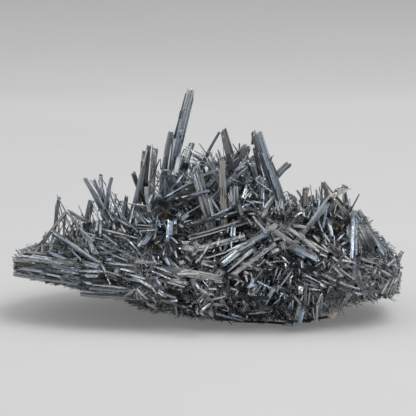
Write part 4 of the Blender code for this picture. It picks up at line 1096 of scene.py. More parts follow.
SLIVERS["slab"] = [
    (42, -3.6, 50.2, -13.2, 1.8, .75), (42.8, -3.4, 50.6, -12, .8, .6), (42.4, -5.6, 45, -13.2, 3, .09),
    (43.6, -7, 47.4, -13.6, 2.6, .1), (42.2, -8, 43, -13.4, 2.4, .09), (40.5, -4, 40.2, -14.4, .9, .9, .8),
    (41.6, -5, 41.6, -13.4, .6, .3, .9), (47.8, -8.4, 47.2, -6.4, .35, .5),
    (49.6, -10.8, 49.3, -9.4, .5, .5), (50.7, -13.5, 50.4, -9.8, .4, .5, .1),
    (45.2, -12.6, 46.8, -13.4, 1.4, .3),
]
SLIVERS["right_end"] = [
    (44, -17.2, 45.4, -17.1, .8, 1), (43.6, -18.8, 45.6, -19.4, 1.1, .03), (44.7, -17.8, 45.2, -18.2, .5, 1),
    (42.8, -13.3, 43.2, -13.6, .6, 1, .15), (43.6, -13.3, 44.5, -13.8, .8, .05),
    (42.4, -14.6, 42.5, -15.8, .7, .02), (43, -14.2, 47, -15.6, .8, .7), (50.2, -16.2, 52.9, -14.1, .5, .6),
    (51, -15.4, 51.5, -15.7, .6, .95, .9), (49.6, -16.8, 52.6, -15, .35, .03),
    (48, -17.8, 48.1, -19.3, .5, 1, 1), (48.6, -17.5, 51.8, -19.2, .5, 1),
    (49, -18.4, 51.4, -19.9, .35, .03), (52.2, -15.8, 52.9, -18.2, 1.5, .65),
    (51.8, -16.6, 54.9, -16.8, 1.1, .35), (53.8, -18.2, 54.2, -19, .9, .25),
    (48.5, -20.5, 49.1, -20.9, .9, .85), (47.6, -21.1, 48, -21.8, .6, .8), (45.6, -21.6, 46.6, -21, .7, .75),
    (53.5, -19, 51.8, -24.4, .5, .5), (54, -18.8, 53.6, -22, .5, .4), (52.5, -20.6, 50.6, -25, .5, .55),
    (52, -22.4, 53.8, -24, .8, .3), (51.8, -20.4, 49.8, -24.8, .6, .15), (50.6, -20.6, 48.6, -24.2, .6, .4),
    (47.6, -22.2, 50.6, -21.4, 1, .05), (42.2, -18, 43.5, -20.2, .9, .5), (45.2, -22.6, 48.4, -23.8, 1, .15),
    (44, -20.8, 46, -23.4, .7, .35), (46.4, -18.6, 47.4, -16.4, .8, .3),
    (49.8, -14.6, 50.4, -16, .7, .6, .1), (47, -24, 47.4, -25.2, .6, .5), (53, -15.2, 54.3, -12.9, .8, .4),
    (44, -23.6, 43.6, -25.6, .8, .4), (52, -13.4, 52.6, -14.4, .3, .4), (50.4, -17.2, 51.6, -17.9, .5, .2),
    (43.6, -15.9, 46.4, -16.6, .6, .4), (47.4, -15, 49.6, -15.2, .7, .25),
]

# Tufts of crystals that fill a part of the front: how many, the left and right of their roots, the lowest
# root, the highest tip and how far they lean, in degrees
TUFTS = {
    "crown_left": (26, -18.5, -9.5, 2.0, 10.5, 35),
    "crown_middle": (50, -8.0, 4.0, 5.0, 14.0, 50),
    "crown_right": (56, 3.0, 13.5, 5.0, 16.5, 50),
    "prow_foot": (22, 14.0, 23.0, -3.0, 3.5, 60),
    "mound": (40, 24.0, 40.0, -4.0, 5.0, 55),
    "left_fan": (30, -33.0, -20.0, -6.0, 2.5, 40),
    "left_peak": (16, -42.0, -34.0, -9.0, -1.5, 50),
}

SLIVER_PROUD = 2.0  # how far a sliver lies in front of the packed crystals
SHADE_SLIVER_PROUD = 1.3  # the same for the darkest ones, which are painted shade: black crystals put in shadowed gaps
DARKEST_SLIVER = 0.09  # slivers of a lower tone are painted shade, black crystals that stand for shadowed gaps
STEEPEST = 0.8  # how far a sliver may run away from the viewer, as a share of how long it looks
TUFT_PROUD = -1.5  # tufts lie behind the outside of the mass
ROOTED = 0.25  # share of its length that a sliver goes on for at its root, where there is mass to enter
UNROOTED = 0.02  # the same where there is none
ROOT_DEPTH = 1.5  # how much further back than its packed crystals a root ends
HEART_OF_VIEW = Vector((0, -10))  # slivers that stand clear of the mass take their depth from towards here
SEARCH_STEP = 0.03
THINNEST_SLIVER = 0.3
SLIVER_FLATNESS = 0.55
BROAD_SLIVER = 0.75  # slivers wider than this have more ribs, and more fine ones grown alongside
SHORT_SLIVER = 1.2  # shorter ones are single grains
DULL_FACING = Vector((0.0, -1.0, -0.05))  # where the broad face of a black sliver, which is painted shade, looks
BRIGHT_FACING = Vector((0.35, -1.0, 0.85))  # where that of the brightest one looks, to catch the lamp


def view_frame():
    """Where the viewer's eye is, the middle of the view and which way is up in it, in millimetres."""
    stage = bpy.context.scene.spray_stage
    tilt = stage.camera_elevation
    aim = Vector((0, 0, stage.camera_height / MM))
    away = Vector((0, -math.cos(tilt), math.sin(tilt)))
    return aim + away * stage.camera_distance / MM, aim, Vector((0, math.sin(tilt), math.cos(tilt)))


@lru_cache(maxsize=None)
def packed_trees():
    """What a line of sight can meet: the smooth outside of the mass, the mass, and each other node."""
    outside = mesh_of(ground_form(ground().surface), "outside")
    nodes = sorted(frame["nodes"].items(), key=lambda item: item[0] != "crystal_mass")
    return [search_tree(mesh) for mesh in (outside, *(node.data for _, node in nodes))]


def sight(across, up, blades=True):
    """A line of sight through a place in the view, and how far along it the mass or a blade is, if any."""
    eye, aim, upwards = view_frame()
    line = (aim + Vector((across, 0, 0)) + upwards * up - eye).normalized()
    met = [tree.ray_cast(eye, line)[3] for tree in packed_trees()[:None if blades else 2]]
    return line, min((depth for depth in met if depth), default=None)


def settled(root, tip, proud, blades=True):
    """A sliver's path: from a root inside the mass to the two places where its ends show in the view."""
    eye = view_frame()[0]
    root, tip = Vector(root), Vector(tip)
    found = [sight(*root.lerp(tip, i / 4), blades) for i in range(5)]
    share = 1.0
    while not any(depth for _, depth in found):
        share -= SEARCH_STEP
        found.append(sight(*HEART_OF_VIEW.lerp(root.lerp(tip, 0.5), share), blades))
    nearest = min(depth for _, depth in found if depth)
    furthest = nearest + (tip - root).length * STEEPEST
    depths = [min(depth or nearest, furthest) for _, depth in found[:5]]
    start, end = depths[0], depths[4]
    buried = max(start + (end - start) * i / 4 - depth for i, depth in enumerate(depths))
    first = eye + found[0][0] * (start - buried - proud)
    last = eye + found[4][0] * (end - buried - proud)
    back = ROOTED if sight(*(root - (tip - root) * ROOTED), blades)[1] else UNROOTED
    return [first - (last - first) * back + found[0][0] * (abs(proud) + ROOT_DEPTH), first, last]


def sliver_axis(path, width, tone, pick):
    """An axis whose broad face is turned to catch the light as its tone asks."""
    along = (path[-1] - path[1]).normalized()
    facing = DULL_FACING.lerp(BRIGHT_FACING, tone)
    facing.x *= pick.choice((-1, 1))
    through = (facing - along * facing.dot(along)).normalized()
    width /= max(0.6, abs(through.y))
    thickness = max(THINNEST_SLIVER, width * SLIVER_FLATNESS)
    return Axis(path, through.cross(along), through, width, thickness)


def tuft(pick, count, left, right, foot, top, lean):
    """Slivers that fill one part of the front between the larger crystals, leaning every way."""
    made = []
    for _ in range(count):
        share = pick.random()
        across, up = left + (right - left) * share, foot + (top - foot) * pick.uniform(0, 0.6)
        turn = math.radians(pick.uniform(-lean, lean))
        length = (top - up) * pick.uniform(0.5, 1.25)
        tip = (across + length * math.sin(turn), up + length * math.cos(turn))
        made.append((across, up, *tip, pick.choice((0.3, 0.4, 0.5, 0.7, 0.9)), pick.uniform(0.1, 0.75)))
    return made


def add_slivers(mesh, slivers, pick, proud=SLIVER_PROUD, blades=True):
    """Slivers that lie proud of the mass, and of the larger blades too or only of the mass."""
    for sliver in slivers:
        width, tone = sliver[4:6]
        hue = sliver[6] if len(sliver) > 6 else pick.uniform(0.3, 0.85)
        # Painted shade: the darkest slivers stand for shadowed gaps, and are made rough so that they catch
        # no light
        shade_sliver = tone < DARKEST_SLIVER
        path = settled(sliver[:2], sliver[2:4], min(proud, SHADE_SLIVER_PROUD) if shade_sliver else proud, blades)
        bare = shade_sliver or (path[2] - path[1]).length < SHORT_SLIVER
        habit = Habit(ribs=2 if width < BROAD_SLIVER else 4, laths=0 if bare else 1 + (width > BROAD_SLIVER),
                      groove=0.32, splay=2.5, jag=pick.uniform(0.6, 1.6), taper=pick.uniform(0.1, 0.6),
                      bow=0.008, streaks=0.45 * tone, stray=0.1 * tone, tone=tone * 0.95, hue=hue,
                      polish=0.9 if shade_sliver else pick.uniform(0.2, 0.8))
        add_bundle(mesh, sliver_axis(path, width * 0.9, tone, pick), habit, pick)


# --- fields of small crystals ----------------------------------------------------------------------


def lath_kind(pick, counts=(3, 4)):
    """A unit lath: three or four parallel prisms that end at different steps."""
    mesh = CrystalMesh()
    count = pick.choice(counts)
    for i in range(count):
        width = pick.uniform(1.0, 1.6) / count
        across = -0.5 + width / 2 + (1 - width) * i / (count - 1)
        deep = pick.uniform(0.55, 1.0)
        top = pick.uniform(0.55, 1.0) if i else 1.0
        slant = pick.uniform(-0.06, 0.06)
        off = [pick.uniform(-0.1, 0.1) for _ in range(4)]
        corners = [(across - width / 2, off[0]), (across + off[1], -deep / 2),
                   (across + width / 2, off[2]), (across + off[3], deep / 2)]
        tip = [(across + (x - across) * UNIT_TIP[0], y * UNIT_TIP[1], top + slant * (1 if k % 2 else -1))
               for k, (x, y) in enumerate(corners)]
        mesh.add([[(x, y, 0) for x, y in corners], tip], [0.5 + pick.uniform(-0.25, 0.25), 0.5, 0.5])
    return mesh.finish("lath")


def plate_kind(pick):
    """A unit plate: five or six parallel prisms that end at different steps."""
    return lath_kind(pick, (5, 6))


def needle_kind(pick):
    """A unit needle: one thin prism with a slanting end."""
    mesh = CrystalMesh()
    corners = [(0.5, pick.uniform(-0.2, 0.2)), (pick.uniform(-0.1, 0.2), 0.5),
               (-0.5, pick.uniform(-0.2, 0.2)), (pick.uniform(-0.2, 0.1), -0.5)]
    tip = [(x * 0.5, y * 0.5, 1 + pick.uniform(-0.15, 0)) for x, y in corners]
    mesh.add([[(x, y, 0) for x, y in corners], tip], (0.5, 0.5, 0.5))
    return mesh.finish("needle")


def base_collection(name, kind, seed):
    """Crystals of unit size for a field to repeat, in a collection that isn't in the scene."""
    pick = random.Random(seed)
    made = bpy.data.collections.new(name)
    for i in range(BASE_KINDS):
        mesh = kind(pick)
        mesh.transform(Matrix.Scale(1 / MM, 4))
        made.objects.link(bpy.data.objects.new(f"{name}_{i}", mesh))
    return made


def random_float(wiring, low, high, seed):
    return wiring.add("FunctionNodeRandomValue", {2: low, 3: high, "Seed": seed}, output=1,
                      data_type="FLOAT")


def random_vector(wiring, reach, seed):
    """A vector whose parts each run from -reach to reach."""
    unit = wiring.add("FunctionNodeRandomValue", {0: (-1.0,) * 3, 1: (1.0,) * 3, "Seed": seed},
                      output=0, data_type="FLOAT_VECTOR")
    return wiring.scaled(unit, reach)


def out_of_envelope(wiring, envelope, place):
    """How far a place is out of the envelope, and which way the envelope's surface faces there."""
    nearest = wiring.add("GeometryNodeProximity", {0: envelope, "Sample Position": place},
                         output="Position", target_element="FACES")
    facing = wiring.add("GeometryNodeSampleNearestSurface",
                        {"Mesh": envelope, "Value": wiring.add("GeometryNodeInputNormal"),
                         "Sample Position": place}, output="Value", data_type="FLOAT_VECTOR")
    return wiring.measure("DOT_PRODUCT", wiring.vector("SUBTRACT", place, nearest), facing), facing


@lru_cache(maxsize=None)
def field_tree():
    """Crystals grown over a surface: each lies along the grain, in bundles, with its root sunk in."""
    tree = bpy.data.node_groups.new("Crystal Field", "GeometryNodeTree")
    inputs = {"Ground": "Geometry", "Crystals": "Collection", "Envelope": "Object", "Seed": "Int",
              "Material": "Material", **{titled(key): "Float" for key in FIELD_SETTINGS}}
    for name, kind in inputs.items():
        tree.interface.new_socket(name, in_out="INPUT", socket_type=f"NodeSocket{kind}")
    tree.interface.new_socket("Crystals", in_out="OUTPUT", socket_type="NodeSocketGeometry")
    wiring = Wiring(tree)
    given = tree.nodes.new("NodeGroupInput").outputs

    def seeded(step):
        return wiring.math("ADD", given["Seed"], float(step))

    def chance(step, power=1.0):
        """A random share, which a higher power brings nearer to 0."""
        return wiring.math("POWER", random_float(wiring, 0.0, 1.0, seeded(step)), power)

    # Roots, fewer of them in the hollows
    spots = tree.nodes.new("GeometryNodeDistributePointsOnFaces")
    density = wiring.times(given["Density"], wiring.named("crowding", "FLOAT"))
    wiring.fill(spots, {"Mesh": given["Ground"], "Density": density, "Seed": given["Seed"]})
    outward = spots.outputs["Normal"]

    # Directions: the grain laid along the ground, turned by the bundle and the crystal's own lean, then
    # lifted
    grain = wiring.named("grain", "FLOAT_VECTOR")
    size = wiring.math("DIVIDE", 1.0, given["Bundle Size"])
    bundle = wiring.add("ShaderNodeTexVoronoi", {"Vector": wiring.add("GeometryNodeInputPosition"),
                                                 "Scale": size}, output="Color")
    bundle = wiring.vector("SUBTRACT", bundle, (0.5, 0.5, 0.5))
    jumble = wiring.named("jumble", "FLOAT")
    bundle = wiring.scaled(bundle, wiring.times(given["Bundle Spread"], wiring.times(jumble, 2.0)))
    own = random_vector(wiring, wiring.times(given["Spread"], jumble), seeded(1))
    along = wiring.vector("NORMALIZE", wiring.vector("ADD", grain, wiring.vector("ADD", bundle, own)))
    taken = wiring.times(wiring.measure("DOT_PRODUCT", along, outward), given["Flattened"])
    along = wiring.vector("SUBTRACT", along, wiring.scaled(outward, taken))
    lift = wiring.times(given["Lift"], wiring.named("rise", "FLOAT"))
    lift = wiring.times(lift, random_float(wiring, -0.1, 2.0, seeded(2)))
    along = wiring.vector("NORMALIZE", wiring.vector("ADD", along, wiring.scaled(outward, lift)))

    # Each crystal's direction and size are stored before its root moves
    length = wiring.mapped(chance(3, 1.6), 0.0, 1.0, given["Shortest"], given["Longest"])
    points = spots.outputs["Points"]
    for name, value, kind in (("along", along, "FLOAT_VECTOR"), ("outward", outward, "FLOAT_VECTOR"),
                              ("length", length, "FLOAT")):
        points = wiring.add("GeometryNodeStoreNamedAttribute", {0: points, "Name": name, "Value": value},
                            data_type=kind, domain="POINT")
    along = wiring.named("along", "FLOAT_VECTOR")
    outward = wiring.named("outward", "FLOAT_VECTOR")
    length = wiring.named("length", "FLOAT")

    def slid(points, distance):
        """Points moved back along their crystals."""
        offset = wiring.scaled(along, wiring.times(distance, -1.0))
        return wiring.add("GeometryNodeSetPosition", {"Geometry": points, "Offset": offset})

    sunk = random_float(wiring, wiring.times(given["Sunk"], 0.3), given["Sunk"], seeded(4))
    points = slid(points, wiring.times(sunk, length))

    # A crystal whose tip would stand too far out of the envelope slides back along its own length
    envelope = wiring.add("GeometryNodeObjectInfo", {"Object": given["Envelope"]}, output="Geometry")
    here = wiring.add("GeometryNodeInputPosition")
    tip = wiring.vector("ADD", here, wiring.scaled(along, length))
    outside, facing = out_of_envelope(wiring, envelope, tip)
    upwards = wiring.mapped(wiring.part(facing, "Z"), -0.6, 0.6, 0.1, 1.0)
    allowed = wiring.times(wiring.times(chance(10, 2.0), upwards), given["Stand Out"])
    excess = wiring.math("MAXIMUM", 0.0, wiring.math("SUBTRACT", outside, allowed))
    slope = wiring.math("MAXIMUM", 0.3, wiring.measure("DOT_PRODUCT", along, facing))
    points = slid(points, wiring.math("DIVIDE", excess, slope))

    # None that still stands out too far, or past the right-hand end
    stray = wiring.math("GREATER_THAN", outside, wiring.math("ADD", allowed, 0.5 * MM))
    past_end = wiring.math("GREATER_THAN", wiring.part(tip, "X"), CAD_BOX[1][0])
    points = wiring.without(points, wiring.math("MAXIMUM", stray, past_end))

    # None whose root has come out on the far side
    outside = out_of_envelope(wiring, envelope, here)[0]
    points = wiring.without(points, wiring.math("GREATER_THAN", outside, 0.1 * MM))

    # None that goes below the plane that the spray rests on
    root = wiring.part(wiring.add("GeometryNodeInputPosition"), "Z")
    tip = wiring.math("ADD", root, wiring.times(wiring.part(along, "Z"), length))
    low = wiring.math("MINIMUM", root, tip)
    points = wiring.without(points, wiring.math("LESS_THAN", low, wiring.times(given["Width"], 0.7)))

    # Broad faces look out of the ground, give or take the roll
    turn = wiring.add("FunctionNodeAlignRotationToVector", {"Vector": along}, axis="Z")
    turn = wiring.add("FunctionNodeAlignRotationToVector", {"Rotation": turn, "Vector": outward},
                      axis="Y", pivot_axis="Z")
    roll = random_float(wiring, wiring.times(given["Roll"], -1.0), given["Roll"], seeded(5))
    roll = wiring.add("FunctionNodeAxisAngleToRotation", {"Axis": (0.0, 0.0, 1.0), "Angle": roll})
    turn = wiring.add("FunctionNodeRotateRotation", {0: turn, 1: roll}, rotation_space="LOCAL")
    width = wiring.times(given["Width"], wiring.math("MULTIPLY_ADD", chance(6, 2.0), 1.4, 0.45))
    thick = wiring.times(wiring.times(width, given["Flatness"]), random_float(wiring, 0.7, 1.3, seeded(7)))
    size = wiring.add("ShaderNodeCombineXYZ", {0: width, 1: thick, 2: length})
    kinds = wiring.add("GeometryNodeCollectionInfo", {"Collection": given["Crystals"],
                                                      "Separate Children": True})
    kind = wiring.add("FunctionNodeRandomValue", {4: 0, 5: BASE_KINDS - 1, "Seed": seeded(8)},
                      output=2, data_type="INT")
    crystals = wiring.add("GeometryNodeInstanceOnPoints",
                          {"Points": points, "Instance": kinds, "Pick Instance": True,
                           "Instance Index": kind, "Rotation": turn, "Scale": size})
    tone = random_float(wiring, given["Darkest"], given["Palest"], seeded(9))
    shade = wiring.add("ShaderNodeCombineXYZ", {0: tone, 1: chance(11), 2: chance(12)})
    crystals = wiring.add("GeometryNodeStoreNamedAttribute",
                          {0: crystals, "Name": "shade_of_crystal", "Value": shade},
                          data_type="FLOAT_VECTOR", domain="INSTANCE")
    crystals = wiring.add("GeometryNodeRealizeInstances", {"Geometry": crystals})
    crystals = wiring.add("GeometryNodeSetMaterial", {"Geometry": crystals, "Material": given["Material"]})
    tree.links.new(crystals, tree.nodes.new("NodeGroupOutput").inputs[0])
    return tree


# Each field's unit crystals, and its seed
FIELDS = {"plates": (plate_kind, 2), "laths": (lath_kind, 3), "needles": (needle_kind, 4),
          "druse": (needle_kind, 5)}


def keep_attributes(mesh):
    """Leaves only what the finish reads: the lengthwise UVs, and the shade of each crystal and part."""
    crystal = np.zeros(len(mesh.vertices) * 3, np.float32)
    part = np.zeros_like(crystal)
    mesh.attributes["shade_of_crystal"].data.foreach_get("vector", crystal)
    mesh.attributes["shade"].data.foreach_get("vector", part)
    for name in (*LIE_OF_CRYSTALS, "along", "outward", "length", "shade_of_crystal", "id"):
        if name in mesh.attributes:
            mesh.attributes.remove(mesh.attributes[name])
    shade = np.clip(crystal + part - 0.5, 0.0, 1.0)
    mesh.attributes["shade"].data.foreach_set("vector", shade)


def grow_field(name, settings, kind, seed):
    """Grows one kind of small crystal over every region of the ground, a piece for each."""
    crystals = base_collection(name, kind, seed)
    envelope = bpy.data.objects.new("envelope", mesh_of(ground_form(ground().surface), "envelope"))
    for number, region in enumerate(REGIONS):
        mesh = mesh_of(ground_form(ground().points, region), f"{region}_ground")
        grower = add_object(f"{region}_ground", mesh)
        scale = REGION_SCALE[region]
        step = grower.modifiers.new("field", "NODES")
        step.node_group = field_tree()
        values = {titled(key): getattr(settings, key) for key in FIELD_SETTINGS}
        values["Density"] /= scale
        for size in ("Shortest", "Longest", "Width"):
            values[size] *= scale
        values.update({"Crystals": crystals, "Envelope": envelope, "Seed": seed * 100 + number,
                       "Material": stibnite()})
        for item in field_tree().interface.items_tree:
            if item.in_out == "INPUT" and item.name in values:
                step[item.identifier] = values[item.name]
        bpy.context.view_layer.update()
        grown = grower.evaluated_get(bpy.context.evaluated_depsgraph_get())
        made = bpy.data.meshes.new_from_object(grown)
        bpy.data.objects.remove(grower)
        keep_attributes(made)
        add_piece(f"{region}_{name}", made, stibnite(), "stibnite_mass")
    for helper in (*crystals.objects, envelope):
        bpy.data.objects.remove(helper)
    bpy.data.collections.remove(crystals)


# --- settings --------------------------------------------------------------------------------------


def number_prop(name, description, default, **details):
    return FloatProperty(name=name, description=description, default=default, **details)


def size_prop(name, description, default):
    return number_prop(name, description, default, unit="LENGTH")


def share_prop(name, description, default, high=1.0):
    return number_prop(name, description, default, min=0.0, max=high)


def times_prop(name, description, default):
    return share_prop(name, description, default, high=3.0)


def angle_prop(name, description, default):
    return number_prop(name, description, default, subtype="ANGLE")


def colour_prop(name, description, default):
    return FloatVectorProperty(name=name, description=description, default=default, subtype="COLOR",
                               min=0.0, max=1.0)


class FinishSettings(bpy.types.PropertyGroup):
    """Colours and polish of the crystals."""

    steel: colour_prop("Steel", "Colour of most crystals", (0.388, 0.413, 0.432))
    blue_steel: colour_prop("Blue Steel", "Colour of the bluish crystals", (0.33, 0.39, 0.47))
    buff: colour_prop("Buff", "Colour of the pale, stained crystals", (0.43, 0.41, 0.365))
    rust: colour_prop("Rust", "Colour of the few brown crystals", (0.30, 0.17, 0.06))
    dust: colour_prop("Dust", "Colour of dull patches", (0.42, 0.43, 0.43))
    darkest: share_prop("Darkest", "Brightness of the darkest crystals", 0.02)
    brightest: share_prop("Brightest", "Brightness of the palest crystals", 1.75, 2.0)
    powder: colour_prop("Powder", "Colour of the powder that lies in a few places", (0.45, 0.46, 0.47))
    powdered: share_prop("Powdered", "How thick the powder is", 0.85)
    metallic: share_prop("Metallic", "How metallic the crystals are", 0.9)
    smoothest: share_prop("Smoothest", "Roughness of the best polished crystals", 0.14)
    roughest: share_prop("Roughest", "Roughness of the dullest crystals", 0.46)
    # Painted shade: the crust is coloured darker than its grains are, for the shade that falls between the
    # crystals
    crust_and_shade_dark: colour_prop("Crust Dark", "Darkest grains of the ground", (0.009, 0.0095, 0.01))
    crust_and_shade_light: colour_prop("Crust Light", "Palest grains of the ground", (0.05, 0.053, 0.06))
    quartz_dark: colour_prop("Quartz Dark", "Stained quartz", (0.20, 0.165, 0.13))
    quartz_light: colour_prop("Quartz Light", "Clear quartz", (0.60, 0.56, 0.50))


class GroundSettings(bpy.types.PropertyGroup):
    """The ground that small crystals grow on."""

    inset_lying: size_prop("Inset Lying", "Depth of the ground under crystals that lie flat", 2.0 * MM)
    inset_standing: size_prop("Inset Standing", "Depth of the ground under standing crystals", 4.2 * MM)
    relief: size_prop("Relief", "How far the grains of the crust stand out", 0.9 * MM)


FIELD_SETTINGS = {
    "density": (number_prop, "Crystals in a square metre"),
    "shortest": (size_prop, "Least length"),
    "longest": (size_prop, "Greatest length"),
    "width": (size_prop, "Usual width"),
    "flatness": (share_prop, "Thickness as a share of the width"),
    "bundle_size": (size_prop, "Span of a bundle of parallel crystals"),
    "bundle_spread": (times_prop, "How far bundles turn from the grain"),
    "spread": (times_prop, "How far crystals turn from their bundle"),
    "flattened": (share_prop, "How far the grain is laid along the ground"),
    "lift": (times_prop, "How steeply crystals stand, times the rise of their part"),
    "stand_out": (size_prop, "Most that a tip stands out of the packed mass"),
    "sunk": (share_prop, "Greatest share of the length inside the ground"),
    "roll": (angle_prop, "Turn of the broad face"),
    "darkest": (share_prop, "Tone of the darkest crystals"),
    "palest": (share_prop, "Tone of the palest crystals"),
}


def titled(setting):
    """A setting's name as it is shown, which is also its name in the field's node tree."""
    return setting.replace("_", " ").title()


def field_settings(name, about, **defaults):
    """The settings of one kind of small crystal."""
    props = {key: make(titled(key), text, defaults[key]) for key, (make, text) in FIELD_SETTINGS.items()}
    return type(name, (bpy.types.PropertyGroup,), {"__doc__": about, "__annotations__": props})


LathSettings = field_settings(
    "LathSettings", "Flat laths, the largest of the small crystals.",
    density=2.4e5, shortest=5.0 * MM, longest=13.0 * MM, width=0.65 * MM, flatness=0.5, bundle_size=4.0 * MM,
    bundle_spread=1.5, spread=0.15, flattened=0.85, lift=1.0, stand_out=1.4 * MM, sunk=0.45, roll=0.9,
    darkest=0.0, palest=1.0)
PlateSettings = field_settings(
    "PlateSettings", "Broad striated plates, scattered among the laths.",
    density=2.0e4, shortest=9.0 * MM, longest=16.0 * MM, width=1.3 * MM, flatness=0.4, bundle_size=8.0 * MM,
    bundle_spread=1.4, spread=0.15, flattened=0.85, lift=0.9, stand_out=1.0 * MM, sunk=0.5, roll=0.7,
    darkest=0.15, palest=1.0)
NeedleSettings = field_settings(
    "NeedleSettings", "Thin needles between the laths.",
    density=7.0e5, shortest=3.0 * MM, longest=9.0 * MM, width=0.33 * MM, flatness=0.75, bundle_size=2.6 * MM,
    bundle_spread=1.9, spread=0.2, flattened=0.75, lift=1.3, stand_out=1.6 * MM, sunk=0.5, roll=1.5,
    darkest=0.0, palest=0.95)
# Painted shade: the tiny crystals on the ground are kept dark, for the shade that falls between the larger
# crystals as well as their own dark tone
DruseSettings = field_settings(
    "DruseSettings", "Tiny crystals that cover the ground.",
    density=1.2e6, shortest=0.9 * MM, longest=2.8 * MM, width=0.7 * MM, flatness=0.6, bundle_size=1.5 * MM,
    bundle_spread=2.0, spread=0.8, flattened=0.5, lift=2.0, stand_out=0.8 * MM, sunk=0.35, roll=1.5,
    darkest=0.0, palest=0.22)


class StageSettings(bpy.types.PropertyGroup):
    """The floor, the lights and the camera."""

    floor: colour_prop("Floor", "Colour of the floor and backdrop", (0.54, 0.542, 0.54))
    # Painted shade: the far backdrop is painted darker, for the light that falls off
    fade: share_prop("Fade", "Brightness of the far backdrop, as a share of the floor's", 0.56)
    # Painted light: the floor glows by itself, which lightens the shadows under the spray; no lamp lies
    # under it
    painted_glow: share_prop("Glow", "Light that comes through the floor's paper", 0.25)
    depth: size_prop("Depth", "Where the floor starts to curve up, behind the spray", 0.42)
    curve: size_prop("Curve", "Radius of the curve from floor to backdrop", 0.9)
    lamp_power: number_prop("Lamp Power", "Power of the overhead lamp, in watts", 7.2)
    lamp_width: size_prop("Lamp Width", "Side of the overhead lamp", 0.7)
    lamp_height: size_prop("Lamp Height", "Height of the overhead lamp", 1.0)
    lamp_right: size_prop("Lamp Right", "How far to the right of the spray the lamp hangs", 0.4)
    lamp_back: size_prop("Lamp Back", "How far behind the spray the lamp hangs", -0.45)
    room: share_prop("Room", "Brightness of the room that faces the spray's front", 0.12)
    horizon: share_prop("Horizon", "Brightness of the light from the sides and the back", 0.66)
    zenith: share_prop("Zenith", "Brightness of the light from above", 0.8)
    camera_distance: size_prop("Camera Distance", "From the camera to the middle of the view", 0.55)
    camera_height: size_prop("View Height", "Height of the middle of the view", 0.0294)
    camera_elevation: angle_prop("Elevation", "Angle that the camera looks down at", math.radians(10))
    camera_span: size_prop("View Span", "Width of the view at that distance", 0.11648)


# --- operators -------------------------------------------------------------------------------------


class SPRAY_OT_core(bpy.types.Operator):
    """Make the crusted ground between the crystals"""

    bl_idname = "spray.core"
    bl_label = "Crusted Ground"

    def execute(self, context):
        form = ground_form(ground().points)
        bmesh.ops.subdivide_edges(form, edges=form.edges, cuts=1, use_grid_fill=True)
        bmesh.ops.triangulate(form, faces=[f for f in form.faces if len(f.verts) > 4])
        form.normal_update()
        relief = context.scene.spray_ground.relief
        for vert in form.verts:
            near = noise.voronoi(vert.co / MM / CRUST_GRAIN)[0][0]
            vert.co += vert.normal * relief * (CRUST_LEVEL - near)
            vert.co.z = max(vert.co.z, RESTING_PLANE * MM)
        mesh = mesh_of(form, "crystal_core")
        for name in LIE_OF_CRYSTALS:
            mesh.attributes.remove(mesh.attributes[name])
        add_piece("crystal_core", mesh, druse(), "stibnite_mass", "crystal_mass")
        return {"FINISHED"}


class FieldStep:
    """A step that grows one kind of small crystal, which is named in the step's label."""

    def execute(self, context):
        name = self.bl_label.lower()
        grow_field(name, getattr(context.scene, f"spray_{name}"), *FIELDS[name])
        return {"FINISHED"}


class SPRAY_OT_plates(FieldStep, bpy.types.Operator):
    """Grow the broad plates over the ground"""

    bl_idname = "spray.plates"
    bl_label = "Plates"


class SPRAY_OT_laths(FieldStep, bpy.types.Operator):
    """Grow the laths over the ground"""

    bl_idname = "spray.laths"
    bl_label = "Laths"


class SPRAY_OT_needles(FieldStep, bpy.types.Operator):
    """Grow the needles between the laths"""

    bl_idname = "spray.needles"
    bl_label = "Needles"


class SPRAY_OT_druse(FieldStep, bpy.types.Operator):
    """Grow the tiny crystals that cover the ground"""

    bl_idname = "spray.druse"
    bl_label = "Druse"


class SPRAY_OT_blades(bpy.types.Operator):
    """Make each large blade, striated and stepped, in the place of its packed node"""

    bl_idname = "spray.blades"
    bl_label = "Large Blades"

    def execute(self, context):
        names = sorted(name for name in frame["nodes"] if name not in ("crystal_mass", "quartz_grain"))
        for number, name in enumerate(names):
            pick = random.Random(number)
            habit = HABITS.get(name)
            if habit is None:
                habit = Habit(ribs=pick.choice((3, 4, 5)), laths=pick.choice((1, 2, 2, 3)),
                              tone=pick.uniform(0.25, 0.8), hue=pick.uniform(0.25, 0.8),
                              polish=pick.uniform(0.2, 0.9))
            mesh = CrystalMesh()
            add_bundle(mesh, node_axis(name), habit, pick)
            add_piece(f"{name}_crystal", mesh.finish(name), stibnite(), "stibnite_blade", name)
        return {"FINISHED"}


class SPRAY_OT_tufts(bpy.types.Operator):
    """Fill the crown and the fans behind the larger crystals"""

    bl_idname = "spray.tufts"
    bl_label = "Tufts"

    def execute(self, context):
        for number, (name, shape) in enumerate(TUFTS.items()):
            pick = random.Random(TUFT_SEED + number)
            mesh = CrystalMesh()
            add_slivers(mesh, tuft(pick, *shape), pick, TUFT_PROUD, blades=False)
            add_piece(f"{name}_tuft", mesh.finish(name), stibnite(), "stibnite_mass")
        return {"FINISHED"}


class SPRAY_OT_slivers(bpy.types.Operator):
    """Place the thin crystals that show on the front, a piece for each part"""

    bl_idname = "spray.slivers"
    bl_label = "Front Slivers"

    def execute(self, context):
        for number, (name, slivers) in enumerate(SLIVERS.items()):
            mesh = CrystalMesh()
            add_slivers(mesh, slivers, random.Random(SLIVER_SEED + number))
            add_piece(f"{name}_slivers", mesh.finish(name), stibnite(), "stibnite_mass")
        return {"FINISHED"}


